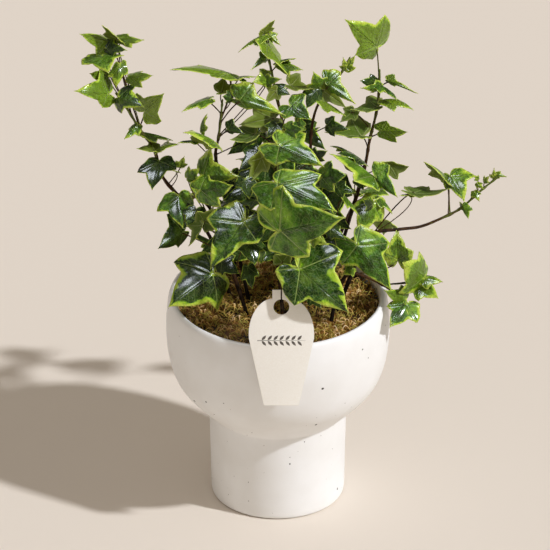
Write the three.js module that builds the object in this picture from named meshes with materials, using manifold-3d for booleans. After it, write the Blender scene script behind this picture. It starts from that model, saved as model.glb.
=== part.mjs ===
// Potted ivy: a variegated English ivy in a white stoneware bowl on a round foot,
// with a moss topping and a blank gift tag. Millimetres, +Z up.
// The origin is the centre of the pot's flat underside; -Y is the front.
import * as THREE from 'three';
import { mergeVertices } from 'three/addons/utils/BufferGeometryUtils.js';
import Module from 'manifold-3d';

const wasm = await Module();
wasm.setup();

// ---- Driving dimensions -------------------------------------------------------------
const GAP = 0.3; // clearance between neighbouring pieces

const POT_HEIGHT = 160;
const FOOT_HEIGHT = 68;
const FOOT_RADIUS = 47.4; // at the table
const FOOT_TOP_RADIUS = 48.8;
const FOOT_EDGE = 3; // rounding of the bottom edge
const BOWL_RADIUS = 79.6; // widest, at BELLY_HEIGHT
const BELLY_HEIGHT = 132;
const RIM_RADIUS = 78;
const MOUTH_RADIUS = 72;
const WALL = 5.6;
const FLOOR = 8;
const LIP_HEIGHT = 4; // height of the rounded lip
const POT_SEGMENTS = 40;

const SOIL_TOP = 144.7;
const MOSS_EDGE_TOP = 151;
const MOSS_CROWN = 3; // rise of the moss from its edge to the middle
const ROOTED_DEPTH = 138; // height at which the vines end inside the soil

const VINE_RADIUS = 1.6;
const VINE_SIDES = 7;
const VINE_STEP = 13; // length of one straight piece of a vine
const PETIOLE_RADIUS = 0.8;
const PETIOLE_SIDES = 5;
const PETIOLE_STEPS = 4;
// The shape of a stalk, as shares of the distance from its vine to its leaf.
const STALK_DROP = 0.5; // how far down the vine it starts
const STALK_KNEE = { back: 0.4, under: 0.1 }; // its bend, behind and below the blade
const STALK_GRIP = 1.5; // how far it runs into the blade
const VINE_SAMPLES = 80;

const BLADE = 1; // thickness of a leaf
const BLADE_FOLD = 0.16; // rise of the blade's sides, per mm from the midrib
const BLADE_ARCH = 0.07; // rise of the midrib's middle, per mm of leaf

const TAG_WIDTH = 46;
const TAG_FOOT_WIDTH = 25;
const TAG_LENGTH = 78;
const TAG_THICKNESS = 0.8;
const TAG_LEAN = 15; // degrees back from upright
const TAG_FOOT_HEIGHT = 120;
const TAG_X = 2.5;
const TAG_HOLE = 5.6;
const TAG_TAB = { width: 12.8, height: 6.5, slit: 1 };
const TAG_WEB = 0.4; // card left above the hole, beside the slit
const TAG_SHOULDER_ROUND = { below: 6, above: 12, bulge: 1, top: 0.62 }; // its curve's handles
const TAG_RIM_CLEARANCE = 1;
const TAG_SHOOT_RADIUS = 0.9;

// ---- Materials ------------------------------------------------------------------------
const finish = (color, roughness) =>
  new THREE.MeshStandardMaterial({ color, roughness, metalness: 0 });
const stoneware = finish('#efece6', 0.55);
const soilMix = finish('#2c211a', 1);
const mossFibre = finish('#5b452f', 1);
const card = finish('#efe6d2', 0.8);
const bark = finish('#3a2c1f', 0.75);
const darkLeaf = finish('#33502f', 0.35);
const goldLeaf = finish('#7f9a3c', 0.4);

// ---- Vines ----------------------------------------------------------------------------
// Each vine starts at its roots; the points are chosen by hand, in mm.
const vines = {
  left: [[-30, 10, ROOTED_DEPTH], [-38, 12, 165], [-47, 14, 195], [-62, 18, 219], [-81, 22, 241],
    [-88, 24, 264], [-98, 26, 279], [-107, 28, 295], [-115, 30, 306]],
  left_inner: [[-18, 2, ROOTED_DEPTH], [-26, 4, 180], [-36, 6, 225], [-44, 8, 268], [-42, 9, 281],
    [-40, 10, 300], [-39, 12, 311]],
  left_front: [[-18, -18, ROOTED_DEPTH], [-30, -16, 180], [-42, -10, 212], [-49, -4, 238]],
  centre: [[4, 4, ROOTED_DEPTH], [8, 4, 180], [9, 4, 225], [6, 4, 268], [4, 7, 290],
    [-2, 14, 318], [-6, 18, 338], [-9, 20, 350]],
  front: [[5, -24, ROOTED_DEPTH], [2, -28, 178], [-1, -26, 220], [-1, -19, 255], [0, -14, 280]],
  right: [[27, 10, ROOTED_DEPTH], [42, 14, 180], [54, 18, 222], [62, 21, 253], [65, 24, 271],
    [70, 28, 293], [72, 31, 316], [72, 32, 324]],
  right_inner: [[15, -8, ROOTED_DEPTH], [20, -4, 190], [23, 0, 240], [23, 5, 273], [25, 8, 297],
    [30, 10, 311], [42, 12, 327], [51, 14, 344]],
  right_long: [[38, -12, ROOTED_DEPTH], [52, -10, 180], [66, -8, 212], [86, -2, 213],
    [101, 2, 213], [115, 6, 217], [129, 8, 224], [143, 10, 237], [157, 10, 250]],
  right_spill: [[36, -26, ROOTED_DEPTH], [42, -24, 172], [50, -20, 187], [65, -16, 181],
    [75, -14, 174], [83, -14, 168], [91, -16, 161]],
  back_left: [[-24, 30, ROOTED_DEPTH], [-36, 44, 176], [-50, 64, 195], [-60, 84, 190],
    [-66, 96, 170]],
  back: [[4, 36, ROOTED_DEPTH], [6, 52, 183], [4, 73, 203], [0, 92, 195], [-4, 102, 172],
    [-6, 105, 150]],
  back_right: [[30, 32, ROOTED_DEPTH], [44, 46, 180], [56, 64, 197], [68, 80, 188],
    [74, 90, 168]],
};

// ---- Leaves ---------------------------------------------------------------------------
// heart: where the stalk meets the blade. tip: the end of the middle lobe.
// facing: roughly where the upper side looks. width: breadth against a plain leaf.
const TOWARDS_FRONT = [0, -2, 1];
const leaves = {
  left: [
    { heart: [-114, 34, 345], tip: [-94, 27, 351], facing: [0, 1, 3] },
    { heart: [-124, 22, 338], tip: [-122, 3, 337], width: 1.1 },
    { heart: [-119, 14, 318], tip: [-144, 0, 324], width: 1.2 },
    { heart: [-107, 22, 317], tip: [-88, 12, 330] },
    { heart: [-93, 20, 297], tip: [-80, 8, 318], width: 1.1 },
    { heart: [-85, 13, 259], tip: [-90, -2, 243], width: 1.2 },
  ],
  left_inner: [
    { heart: [-41, 15, 329], tip: [-75, 3, 341], facing: [0, 1, 3] },
    { heart: [-48, 4, 316], tip: [-68, -8, 312], width: 1.1 },
    { heart: [-25, -4, 322], tip: [4, -14, 312] },
    { heart: [-47, -9, 290], tip: [-67, -21, 302], width: 1.2 },
  ],
  left_front: [
    { heart: [-53, -10, 260], tip: [-27, -24, 268], width: 1.2 },
    { heart: [-55, -20, 250], tip: [-30, -34, 262], width: 1.2 },
    { heart: [-70, -4, 241], tip: [-70, -20, 224], width: 1.2 },
    { heart: [-66, -10, 215], tip: [-87, -22, 207], width: 1.1 },
    { heart: [-26, -44, 240], tip: [-48, -58, 212], width: 1.1 },
    { heart: [-53, -34, 192], tip: [-78, -52, 177], width: 1.3 },
  ],
  centre: [
    { heart: [-12, 18, 357], tip: [-27, 6, 357], width: 1.3 },
    { heart: [4, -2, 311], tip: [24, -12, 308], width: 1.2 },
  ],
  front: [
    { heart: [-11, -14, 284], tip: [-30, -24, 277], width: 1.2 },
    { heart: [2, -26, 295], tip: [34, -40, 287] },
    { heart: [2, -47, 276], tip: [42, -63, 268] },
    { heart: [2, -69, 253], tip: [48, -90, 272] },
    { heart: [15, -70, 222], tip: [50, -82, 192] },
  ],
  right: [
    { heart: [70, 32, 340], tip: [46, 20, 368], width: 1.1 },
    { heart: [83, 26, 316], tip: [103, 14, 313], width: 1.1 },
    { heart: [59, 12, 281], tip: [30, 0, 290], facing: [0, 1, 3] },
    { heart: [78, 14, 282], tip: [94, 1, 291], width: 1.1 },
    { heart: [70, 4, 253], tip: [37, -14, 281] },
  ],
  right_inner: [
    { heart: [34, 5, 329], tip: [55, -8, 320] },
    { heart: [29, 3, 307], tip: [49, -7, 300] },
  ],
  right_long: [
    { heart: [78, -8, 236], tip: [56, -22, 227], width: 1.2 },
    { heart: [58, -38, 220], tip: [78, -50, 194], width: 1.2 },
    { heart: [97, -4, 241], tip: [122, -14, 254], facing: [0, -1, 3] },
    { heart: [122, 2, 254], tip: [133, -12, 240], width: 1.3 },
  ],
  right_spill: [
    { heart: [92, -20, 163], tip: [78, -36, 150], width: 1.2 },
    { heart: [104, -12, 181], tip: [89, -28, 192], width: 1.2 },
    { heart: [85, -14, 196], tip: [84, -5, 216] },
  ],
  back_left: [
    { heart: [-48, 68, 206], tip: [-66, 84, 212], facing: [-1, 2, 3] },
    { heart: [-62, 96, 186], tip: [-68, 118, 166], facing: [-1, 3, 2] },
  ],
  back: [
    { heart: [8, 68, 214], tip: [32, 86, 212], facing: [1, 1, 3] },
    { heart: [-9, 108, 184], tip: [-31, 122, 168], facing: [-1, 3, 2] },
    { heart: [2, 112, 152], tip: [12, 122, 118], facing: [0, 3, 1] },
  ],
  back_right: [
    { heart: [64, 78, 198], tip: [78, 98, 190], facing: [1, 2, 3] },
  ],
};

// One side of a leaf, for a heart-to-tip length of 1: the notch at the stalk, the basal lobe,
// the side lobe and the shoulder of the middle lobe. polar() gives degrees from the midrib.
const polar = (degrees, reach) =>
  new THREE.Vector2(reach, 0).rotateAround(new THREE.Vector2(), THREE.MathUtils.degToRad(degrees));
const LEAF_SIDE = [
  polar(162, 0.15), polar(132, 0.41), polar(99, 0.37), polar(62, 0.58), polar(36, 0.44),
  new THREE.Vector2(0.63, 0.18),
];
const MIDRIB = [new THREE.Vector2(0, 0), new THREE.Vector2(0.3, 0), new THREE.Vector2(0.6, 0)];
const TIP = new THREE.Vector2(1, 0);

// ---- Helpers --------------------------------------------------------------------------
const group = new THREE.Group();

function addPiece(name, geometry, material) {
  const mesh = new THREE.Mesh(geometry, material);
  mesh.name = name;
  group.add(mesh);
  return mesh;
}

function toSolid(geometry) {
  const bare = geometry.clone();
  bare.deleteAttribute('normal');
  bare.deleteAttribute('uv');
  const merged = mergeVertices(bare, 1e-4);
  return new wasm.Manifold(new wasm.Mesh({
    numProp: 3,
    vertProperties: merged.attributes.position.array,
    triVerts: new Uint32Array(merged.index.array),
  }));
}

function toGeometry(solid) {
  const { vertProperties, triVerts } = solid.getMesh();
  const geometry = new THREE.BufferGeometry();
  geometry.setAttribute('position', new THREE.BufferAttribute(vertProperties, 3));
  geometry.setIndex(new THREE.BufferAttribute(triVerts, 1));
  geometry.computeVertexNormals();
  return geometry;
}

function lathe(points) {
  return new THREE.LatheGeometry(points, POT_SEGMENTS).rotateX(Math.PI / 2);
}

function tube(curve, radius, sides, steps) {
  const section = new THREE.Shape(
    Array.from({ length: sides }, (_, i) => polar((i * 360) / sides, radius)),
  );
  return new THREE.ExtrudeGeometry(section, { extrudePath: curve, steps });
}

// ---- Pot ------------------------------------------------------------------------------
const v2 = (x, y) => new THREE.Vector2(x, y);

function potProfile() {
  const bowl = new THREE.SplineCurve([
    v2(FOOT_TOP_RADIUS, FOOT_HEIGHT), v2(60.6, 80), v2(70.6, 91.5), v2(76.4, 105),
    v2(BOWL_RADIUS, BELLY_HEIGHT), v2(RIM_RADIUS, POT_HEIGHT - LIP_HEIGHT),
  ]);
  const lipMiddle = (RIM_RADIUS + MOUTH_RADIUS) / 2;
  const lip = new THREE.EllipseCurve(
    lipMiddle, POT_HEIGHT - LIP_HEIGHT, RIM_RADIUS - lipMiddle, LIP_HEIGHT, 0, Math.PI,
  );
  const inside = new THREE.SplineCurve([
    v2(MOUTH_RADIUS, POT_HEIGHT - LIP_HEIGHT), v2(BOWL_RADIUS - WALL, BELLY_HEIGHT), v2(71, 107),
    v2(65.6, 95), v2(56.5, 84), v2(FOOT_TOP_RADIUS - WALL, 71),
  ]);
  return [
    v2(0, 0), v2(FOOT_RADIUS - FOOT_EDGE, 0), v2(FOOT_RADIUS - FOOT_EDGE * 0.3, FOOT_EDGE * 0.3),
    v2(FOOT_RADIUS, FOOT_EDGE), ...bowl.getPoints(10), ...lip.getPoints(6).slice(1, -1),
    ...inside.getPoints(8), v2(FOOT_RADIUS - WALL, FLOOR + 4), v2(FOOT_RADIUS - WALL - 4, FLOOR),
    v2(0, FLOOR),
  ];
}

const profile = potProfile();
const cavity = profile.slice(profile.findIndex((p) => p.y === POT_HEIGHT));

// Radius of the cavity at a height.
function cavityRadius(height) {
  const below = cavity.findIndex((p) => p.y < height);
  const [a, b] = [cavity[below - 1], cavity[below]];
  return THREE.MathUtils.mapLinear(height, a.y, b.y, a.x, b.x);
}

addPiece('ceramic_pot', lathe(profile), stoneware);

// ---- Vine curves and the soil they are rooted in ---------------------------------------
const vineCurves = Object.fromEntries(Object.entries(vines).map(([name, points]) => [
  name, new THREE.CatmullRomCurve3(points.map((p) => new THREE.Vector3(...p)), false, 'centripetal'),
]));

function vineTube(curve, radius) {
  return tube(curve, radius, VINE_SIDES, Math.round(curve.getLength() / VINE_STEP));
}

// The soil and the moss are bored with the vines' own tubes, a little wider.
function bored(geometry) {
  let solid = toSolid(geometry);
  for (const curve of Object.values(vineCurves)) {
    const bore = vineTube(curve, VINE_RADIUS + 2 * GAP).translate(0, 0, -GAP);
    solid = solid.subtract(toSolid(bore));
  }
  return toGeometry(solid);
}

const soilSide = cavity.filter((p) => p.x > 0 && p.y < SOIL_TOP).reverse()
  .map((p) => v2(p.x - 2 * GAP, p.y + GAP));
addPiece('potting_soil', bored(lathe([
  v2(0, FLOOR + GAP), ...soilSide, v2(cavityRadius(SOIL_TOP) - 2 * GAP, SOIL_TOP), v2(0, SOIL_TOP),
])), soilMix);

addPiece('moss_topping', bored(lathe([
  v2(0, SOIL_TOP + GAP), v2(cavityRadius(SOIL_TOP) - 2 * GAP, SOIL_TOP + GAP),
  v2(cavityRadius(MOSS_EDGE_TOP) - 2 * GAP, MOSS_EDGE_TOP),
  v2(MOUTH_RADIUS * 0.6, MOSS_EDGE_TOP + MOSS_CROWN * 0.7), v2(0, MOSS_EDGE_TOP + MOSS_CROWN),
])), mossFibre);

for (const [name, curve] of Object.entries(vineCurves)) {
  addPiece(`vine_${name}`, vineTube(curve, VINE_RADIUS), bark);
}

// A thin leafless shoot comes up behind the tag and turns out through its hole.
const tagShoot = new THREE.CatmullRomCurve3([
  new THREE.Vector3(3, -46, MOSS_EDGE_TOP + 6), new THREE.Vector3(3, -50, 172),
  new THREE.Vector3(TAG_X, -60, 186), new THREE.Vector3(TAG_X, -73, 189),
], false, 'centripetal');
addPiece('tag_shoot', tube(tagShoot, TAG_SHOOT_RADIUS, PETIOLE_SIDES, 6), bark);

// ---- Gift tag -------------------------------------------------------------------------
// A keyhole-shaped card: round shoulders, a straight taper to its foot, and a hole closed by
// a slit tab that hooks over a thin shoot.
function tagGeometry() {
  const half = TAG_WIDTH / 2;
  const shoulder = TAG_LENGTH - half;
  const outline = new THREE.Shape();
  outline.moveTo(-TAG_FOOT_WIDTH / 2, 0);
  outline.lineTo(TAG_FOOT_WIDTH / 2, 0);
  const { below, above, bulge, top } = TAG_SHOULDER_ROUND;
  outline.lineTo(half, shoulder - below);
  outline.bezierCurveTo(
    half + bulge, shoulder + above, half * top, TAG_LENGTH, TAG_TAB.width / 2, TAG_LENGTH,
  );
  outline.lineTo(TAG_TAB.width / 2, TAG_LENGTH + TAG_TAB.height);
  outline.lineTo(TAG_TAB.slit / 2, TAG_LENGTH + TAG_TAB.height);
  const rise = Math.sqrt(TAG_HOLE ** 2 - (TAG_TAB.slit / 2) ** 2);
  const holeHeight = TAG_LENGTH - TAG_HOLE - TAG_WEB;
  const slitAngle = Math.atan2(rise, TAG_TAB.slit / 2);
  outline.lineTo(TAG_TAB.slit / 2, holeHeight + rise);
  outline.absarc(0, holeHeight, TAG_HOLE, slitAngle, Math.PI - slitAngle, true);
  outline.lineTo(-TAG_TAB.slit / 2, TAG_LENGTH + TAG_TAB.height);
  outline.lineTo(-TAG_TAB.width / 2, TAG_LENGTH + TAG_TAB.height);
  outline.lineTo(-TAG_TAB.width / 2, TAG_LENGTH);
  outline.bezierCurveTo(
    -half * top, TAG_LENGTH, -half - bulge, shoulder + above, -half, shoulder - below,
  );
  outline.closePath();
  return new THREE.ExtrudeGeometry(outline, {
    depth: TAG_THICKNESS, bevelEnabled: false, curveSegments: 10,
  });
}

const lean = THREE.MathUtils.degToRad(TAG_LEAN);
const tag = addPiece('plant_tag', tagGeometry(), card);
tag.rotation.x = Math.PI / 2 - lean;
// The back of the tag rests on the rim, where the rim's front is steepest.
const rimFront = -(RIM_RADIUS + 0.2);
const footInFront = (POT_HEIGHT - LIP_HEIGHT - TAG_FOOT_HEIGHT) * Math.tan(lean);
tag.position.set(
  TAG_X, rimFront - GAP - TAG_RIM_CLEARANCE - footInFront, TAG_FOOT_HEIGHT,
);

// ---- Leaves ---------------------------------------------------------------------------
// The blade folds up from its midrib and arches along it. Both ends of the midrib stay put.
function bladeGeometry(length, width) {
  const side = (sign) => LEAF_SIDE.map((p) => v2(p.x * length, sign * p.y * length * width));
  const rib = MIDRIB.map((p) => p.clone().multiplyScalar(length));
  const tip = TIP.clone().multiplyScalar(length);
  const outline = [rib[0], ...side(-1), tip, ...side(1).reverse()];
  const points = [...outline, ...rib.slice(1)];
  const bend = (p) => {
    const along = p.x / length;
    return BLADE_FOLD * Math.abs(p.y) + 4 * BLADE_ARCH * length * along * (1 - along);
  };
  const count = points.length;
  const positions = [BLADE / 2, -BLADE / 2].flatMap((offset) =>
    points.flatMap((p) => [p.x, p.y, bend(p) + offset]));
  const half = (sign) => {
    const loop = [rib[0], ...side(sign), tip, rib[2], rib[1]];
    const index = loop.map((p) => points.findIndex((q) => q.distanceTo(p) < 1e-9));
    return THREE.ShapeUtils.triangulateShape(loop, []).map((t) => t.map((i) => index[i]));
  };
  const upper = [...half(-1), ...half(1)].map(([a, b, c]) => {
    const turn = points[b].clone().sub(points[a]).cross(points[c].clone().sub(points[a]));
    return turn > 0 ? [a, b, c] : [a, c, b];
  });
  const lower = upper.map(([a, b, c]) => [a + count, c + count, b + count]);
  const rim = outline.flatMap((_, i) => {
    const next = (i + 1) % outline.length;
    return [[i, i + count, next + count], [i, next + count, next]];
  });
  const geometry = new THREE.BufferGeometry();
  geometry.setAttribute('position', new THREE.Float32BufferAttribute(positions, 3));
  geometry.setIndex([...upper, ...lower, ...rim].flat());
  return geometry;
}

// A leaf's own frame: X to the tip, Z out of the upper side.
function leafFrame({ heart, tip, facing = TOWARDS_FRONT }) {
  const origin = new THREE.Vector3(...heart);
  const along = new THREE.Vector3(...tip).sub(origin);
  const length = along.length();
  along.normalize();
  const face = new THREE.Vector3(...facing);
  face.addScaledVector(along, -face.dot(along)).normalize();
  const across = face.clone().cross(along);
  const matrix = new THREE.Matrix4().makeBasis(along, across, face).setPosition(origin);
  return { origin, along, face, length, matrix };
}

// The stalk leaves its vine a little below the leaf and bends into the midrib.
function petioleCurve(frame, vine) {
  const samples = vine.getSpacedPoints(VINE_SAMPLES);
  const distances = samples.map((p) => p.distanceTo(frame.origin));
  const nearest = distances.indexOf(Math.min(...distances));
  const spacing = vine.getLength() / VINE_SAMPLES;
  const drop = Math.round((STALK_DROP * distances[nearest]) / spacing);
  const step = Math.max(0, nearest - drop);
  const foot = samples[step];
  const reach = foot.distanceTo(frame.origin);
  const knee = frame.origin.clone().addScaledVector(frame.along, -STALK_KNEE.back * reach)
    .addScaledVector(frame.face, -STALK_KNEE.under * reach);
  const alongVine = vine.getTangentAt(step / VINE_SAMPLES);
  const away = knee.clone().sub(foot);
  away.addScaledVector(alongVine, -away.dot(alongVine)).normalize();
  const start = foot.clone().addScaledVector(away, VINE_RADIUS + PETIOLE_RADIUS + 2 * GAP);
  const end = frame.origin.clone().addScaledVector(frame.along, STALK_GRIP);
  return new THREE.QuadraticBezierCurve3(start, knee, end);
}

function leafGeometry(leaf, vine) {
  const frame = leafFrame(leaf);
  const blade = bladeGeometry(frame.length, leaf.width ?? 1).applyMatrix4(frame.matrix);
  const stalk = tube(petioleCurve(frame, vine), PETIOLE_RADIUS, PETIOLE_SIDES, PETIOLE_STEPS);
  return toGeometry(toSolid(blade).add(toSolid(stalk)));
}

for (const [vineName, onVine] of Object.entries(leaves)) {
  onVine.forEach((leaf, i) => {
    const colour = i % 3 === 1 ? goldLeaf : darkLeaf;
    addPiece(`leaf_${vineName}_${i + 1}`, leafGeometry(leaf, vineCurves[vineName]), colour);
  });
}

export default group;
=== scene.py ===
# %% [markdown]
# # Potted ivy
# A variegated English ivy in a white stoneware bowl on a round foot. The bowl is topped with
# dry moss, and a card tag leans on its front rim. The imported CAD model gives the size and
# place of every piece. This lesson gives each piece its fine shape and its finish.

# %% Load the frame
import math
import random

import bpy
import numpy as np
from mathutils import Matrix, Vector, noise


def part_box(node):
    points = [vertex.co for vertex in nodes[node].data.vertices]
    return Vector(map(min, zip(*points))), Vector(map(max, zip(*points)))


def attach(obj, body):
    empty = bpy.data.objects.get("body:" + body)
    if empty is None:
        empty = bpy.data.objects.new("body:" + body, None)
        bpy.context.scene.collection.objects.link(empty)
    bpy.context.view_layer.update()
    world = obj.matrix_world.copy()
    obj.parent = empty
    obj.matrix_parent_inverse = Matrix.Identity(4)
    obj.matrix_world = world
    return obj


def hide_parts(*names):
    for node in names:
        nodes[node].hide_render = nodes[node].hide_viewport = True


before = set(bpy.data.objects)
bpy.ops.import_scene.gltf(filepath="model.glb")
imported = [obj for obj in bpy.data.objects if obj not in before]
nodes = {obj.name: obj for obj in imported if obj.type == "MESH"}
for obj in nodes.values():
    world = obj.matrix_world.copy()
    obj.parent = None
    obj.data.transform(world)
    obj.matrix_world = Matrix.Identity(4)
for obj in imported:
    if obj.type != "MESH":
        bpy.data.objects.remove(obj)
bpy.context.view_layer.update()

MM = 0.001

# %% [markdown]
# Every operator works on what is selected, and a freshly loaded frame is selected. So the
# first helper clears the selection, and a second one gives a new piece its name, its body and
# the CAD pieces that it stands for.

# %% Selecting and registering pieces
def select_only(*objects):
    if bpy.context.object and bpy.context.object.mode != "OBJECT":
        bpy.ops.object.mode_set(mode="OBJECT")
    bpy.ops.object.select_all(action="DESELECT")
    for o in objects:
        o.select_set(True)
    bpy.context.view_layer.objects.active = objects[0] if objects else None


def register(piece, name, stands_for=()):
    piece.name = name
    piece.data.name = name
    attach(piece, "root")
    if stands_for:
        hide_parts(*stands_for)
    return piece


def apply_modifiers(piece):
    select_only(piece)
    for modifier in list(piece.modifiers):
        bpy.ops.object.modifier_apply(modifier=modifier.name)


select_only()

# %% [markdown]
# Colours are picked as sRGB hex values, the way a paint chart gives them. Cycles works in
# linear light, so one function converts them. Another small function adds a shader node,
# sets it up and links it, and every material below is built with it.

# %% Colour and node helpers
def linear(hex_colour, alpha=1.0):
    parts = [int(hex_colour[i:i + 2], 16) / 255 for i in (1, 3, 5)]
    curve = [c / 12.92 if c <= 0.04045 else ((c + 0.055) / 1.055) ** 2.4 for c in parts]
    return (*curve, alpha)


def new_material(name):
    material = bpy.data.materials.new(name)
    material.use_nodes = True
    material.node_tree.nodes.clear()
    return material, material.node_tree


def add(tree, kind, links=None, stops=None, **settings):
    """Adds a node. links maps an input to a value or to another node's output socket."""
    node = tree.nodes.new("ShaderNode" + kind)
    for key, value in settings.items():
        setattr(node, key, value)
    if stops:
        ramp = node.color_ramp
        for place, colour in stops[1:-1]:
            ramp.elements.new(place)
        for element, (place, colour) in zip(ramp.elements, stops):
            element.position = place
            element.color = colour
    for key, value in (links or {}).items():
        socket = node.inputs[key]
        if isinstance(value, bpy.types.NodeSocket):
            tree.links.new(value, socket)
        else:
            socket.default_value = value
    return node


def finish_material(tree, shader):
    out = add(tree, "OutputMaterial")
    tree.links.new(shader.outputs[0], out.inputs["Surface"])


# %% [markdown]
# The camera comes first, so that each piece can be judged as it is made. An orthographic
# camera would do, but a real one stands far back with a long lens, so this one does too. It
# looks down from 30 degrees above the horizon, where the rim and the foot open as ellipses.

# %% Camera
CAMERA_HEIGHT = math.radians(30)
CAMERA_DISTANCE = 10.0
VIEW_WIDTH = 0.3905
target = Vector((-0.002, 0, 0.1745))
direction = Vector((0, -math.cos(CAMERA_HEIGHT), math.sin(CAMERA_HEIGHT)))

camera_data = bpy.data.cameras.new("camera")
camera_data.sensor_width = 36
camera_data.lens = camera_data.sensor_width * CAMERA_DISTANCE / VIEW_WIDTH
camera = bpy.data.objects.new("camera", camera_data)
bpy.context.scene.collection.objects.link(camera)
camera.location = target + direction * CAMERA_DISTANCE
camera.rotation_euler = (-direction).to_track_quat("-Z", "Y").to_euler()
bpy.context.scene.camera = camera
bpy.context.scene.view_settings.view_transform = "Standard"
print("camera lens:", round(camera_data.lens), "mm")

# %% [markdown]
# A plant needs a key light with a soft edge, so that its leaves shade each other clearly, and
# a dim fill, so that its dark inside stays dark. A sun lamp 3 degrees wide is such a key. Waxy
# leaves also need something pale to mirror. That is a panel overhead, which matt surfaces
# don't see, so that the pot keeps one clear lit side.

# %% Light
LIT_CENTRE = Vector((0, 0, 0.2))
FILL, MIRRORED_FILL = 0.48, 0.05


def add_light(name, kind, azimuth, height, energy, colour, distance=1.5, **settings):
    """azimuth turns from the front (0) towards the right (90), in degrees."""
    data = bpy.data.lights.new(name, kind)
    data.energy = energy
    data.color = linear(colour)[:3]
    for key, value in settings.items():
        setattr(data, key, value)
    light = bpy.data.objects.new(name, data)
    bpy.context.scene.collection.objects.link(light)
    a, h = math.radians(azimuth), math.radians(height)
    away = Vector((math.sin(a) * math.cos(h), -math.cos(a) * math.cos(h), math.sin(h)))
    light.location = LIT_CENTRE + away * distance
    light.rotation_euler = (-away).to_track_quat("-Z", "Y").to_euler()
    light.visible_camera = False
    return light


add_light("key", "SUN", azimuth=66, height=43, energy=2.8, colour="#F5F8FF",
          angle=math.radians(3))
sheen_panel = add_light("overhead_panel", "AREA", azimuth=-24, height=70, energy=34,
                        colour="#EEF3FF", distance=1.4, shape="RECTANGLE", size=0.9, size_y=0.5)
sheen_panel.visible_diffuse = False

world = bpy.data.worlds.new("studio")
world.use_nodes = True
bpy.context.scene.world = world
sky_tree = world.node_tree
background = sky_tree.nodes["Background"]
background.inputs["Color"].default_value = linear("#F3E9DE")
# Glossy surfaces mirror a dimmer room than the one that lights the scene.
ray = add(sky_tree, "LightPath")
strength = add(sky_tree, "Mix", {"Factor": ray.outputs["Is Glossy Ray"], "A": FILL,
                                 "B": MIRRORED_FILL}, data_type="FLOAT")
sky_tree.links.new(strength.outputs["Result"], background.inputs["Strength"])

# %% [markdown]
# The pot stands on a plain pale floor, painted matt. It could be a curved backdrop, but a
# plane that runs past the view on every side looks the same and serves every angle.

# %% Floor
bpy.ops.mesh.primitive_plane_add(size=40)
floor = bpy.context.object
floor.name = "floor"
floor_paint, tree = new_material("matt pale studio floor")
finish_material(tree, add(tree, "BsdfPrincipled", {
    "Base Color": linear("#E2D8CB"), "Roughness": 0.8, "Specular IOR Level": 0.1}))
floor.data.materials.append(floor_paint)
print("floor:", floor_paint.name)

# %% [markdown]
# ## Stoneware
# The pot is slip-cast stoneware with a matt white glaze. Iron in the clay bleeds through the
# glaze as a few dark specks, from a pinprick to 1.5 mm. A matt glaze is glassy but finely
# crystallised, so it has glass's IOR of 1.5 and a high roughness. Its surface is a little
# wavy where the slip ran and the glaze pooled.

# %% Material: matt white glaze with iron specks
GLAZE_UNROLLED_AT = 0.066   # metres; the radius at which the wall is unrolled
# (cells per metre, largest speck in cell widths, share of cells without one, colour)
SPECK_KINDS = [(66, 0.075, 0.78, "#2A2523"), (120, 0.065, 0.86, "#6E6258")]
SPECK_EDGE = 0.012          # cell widths over which a speck fades out


def matt_glaze():
    material, tree = new_material("matt white glaze on stoneware")
    place = add(tree, "TexCoord").outputs["Object"]
    cloud = add(tree, "TexNoise", {"Vector": place, "Scale": 28.0, "Detail": 3.0})
    base = add(tree, "ValToRGB", {"Fac": cloud.outputs["Fac"]}, stops=[
        (0.3, linear("#ECEBE8")), (0.7, linear("#F4F4F3"))])
    colour = base.outputs["Color"]
    # The wall is unrolled to a flat sheet, so that every speck lies on the surface.
    split = add(tree, "SeparateXYZ", {"Vector": place})
    turn = add(tree, "Math", {0: split.outputs["Y"], 1: split.outputs["X"]},
               operation="ARCTAN2")
    round_wall = add(tree, "Math", {0: turn.outputs[0], 1: GLAZE_UNROLLED_AT},
                     operation="MULTIPLY")
    sheet = add(tree, "CombineXYZ", {"X": round_wall.outputs[0], "Y": split.outputs["Z"]})
    pits = None
    for cells, size, kept_from, hex_colour in SPECK_KINDS:
        cell = add(tree, "TexVoronoi", {"Vector": sheet.outputs[0], "Scale": float(cells)},
                   voronoi_dimensions="2D")
        chance = add(tree, "SeparateColor", {"Color": cell.outputs["Color"]})
        reach = add(tree, "MapRange", {
            "Value": chance.outputs[0], "From Min": kept_from, "From Max": 1.0,
            "To Min": 0.0, "To Max": size})
        inside = add(tree, "Math", {0: reach.outputs["Result"], 1: cell.outputs["Distance"]},
                     operation="SUBTRACT")
        mask = add(tree, "MapRange", {
            "Value": inside.outputs[0], "From Min": 0.0, "From Max": SPECK_EDGE})
        mixed = add(tree, "Mix", {
            "Factor": mask.outputs["Result"], "A": colour, "B": linear(hex_colour)},
            data_type="RGBA")
        colour = mixed.outputs["Result"]
        pits = mask.outputs["Result"] if pits is None else pits
    wave = add(tree, "TexNoise", {"Vector": place, "Scale": 55.0, "Detail": 2.0})
    grain = add(tree, "TexNoise", {"Vector": place, "Scale": 900.0, "Detail": 2.0})
    soft = add(tree, "Math", {0: grain.outputs["Fac"], 1: 0.12}, operation="MULTIPLY")
    relief = add(tree, "Math", {0: wave.outputs["Fac"], 1: soft.outputs[0]}, operation="ADD")
    relief = add(tree, "Math", {0: relief.outputs[0], 1: pits}, operation="SUBTRACT")
    bump = add(tree, "Bump", {
        "Height": relief.outputs[0], "Strength": 0.35, "Distance": 0.0004})
    finish_material(tree, add(tree, "BsdfPrincipled", {
        "Base Color": colour, "Roughness": 0.5, "IOR": 1.5, "Normal": bump.outputs[0]}))
    return material


glaze = matt_glaze()
print("finish:", glaze.name)
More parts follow.
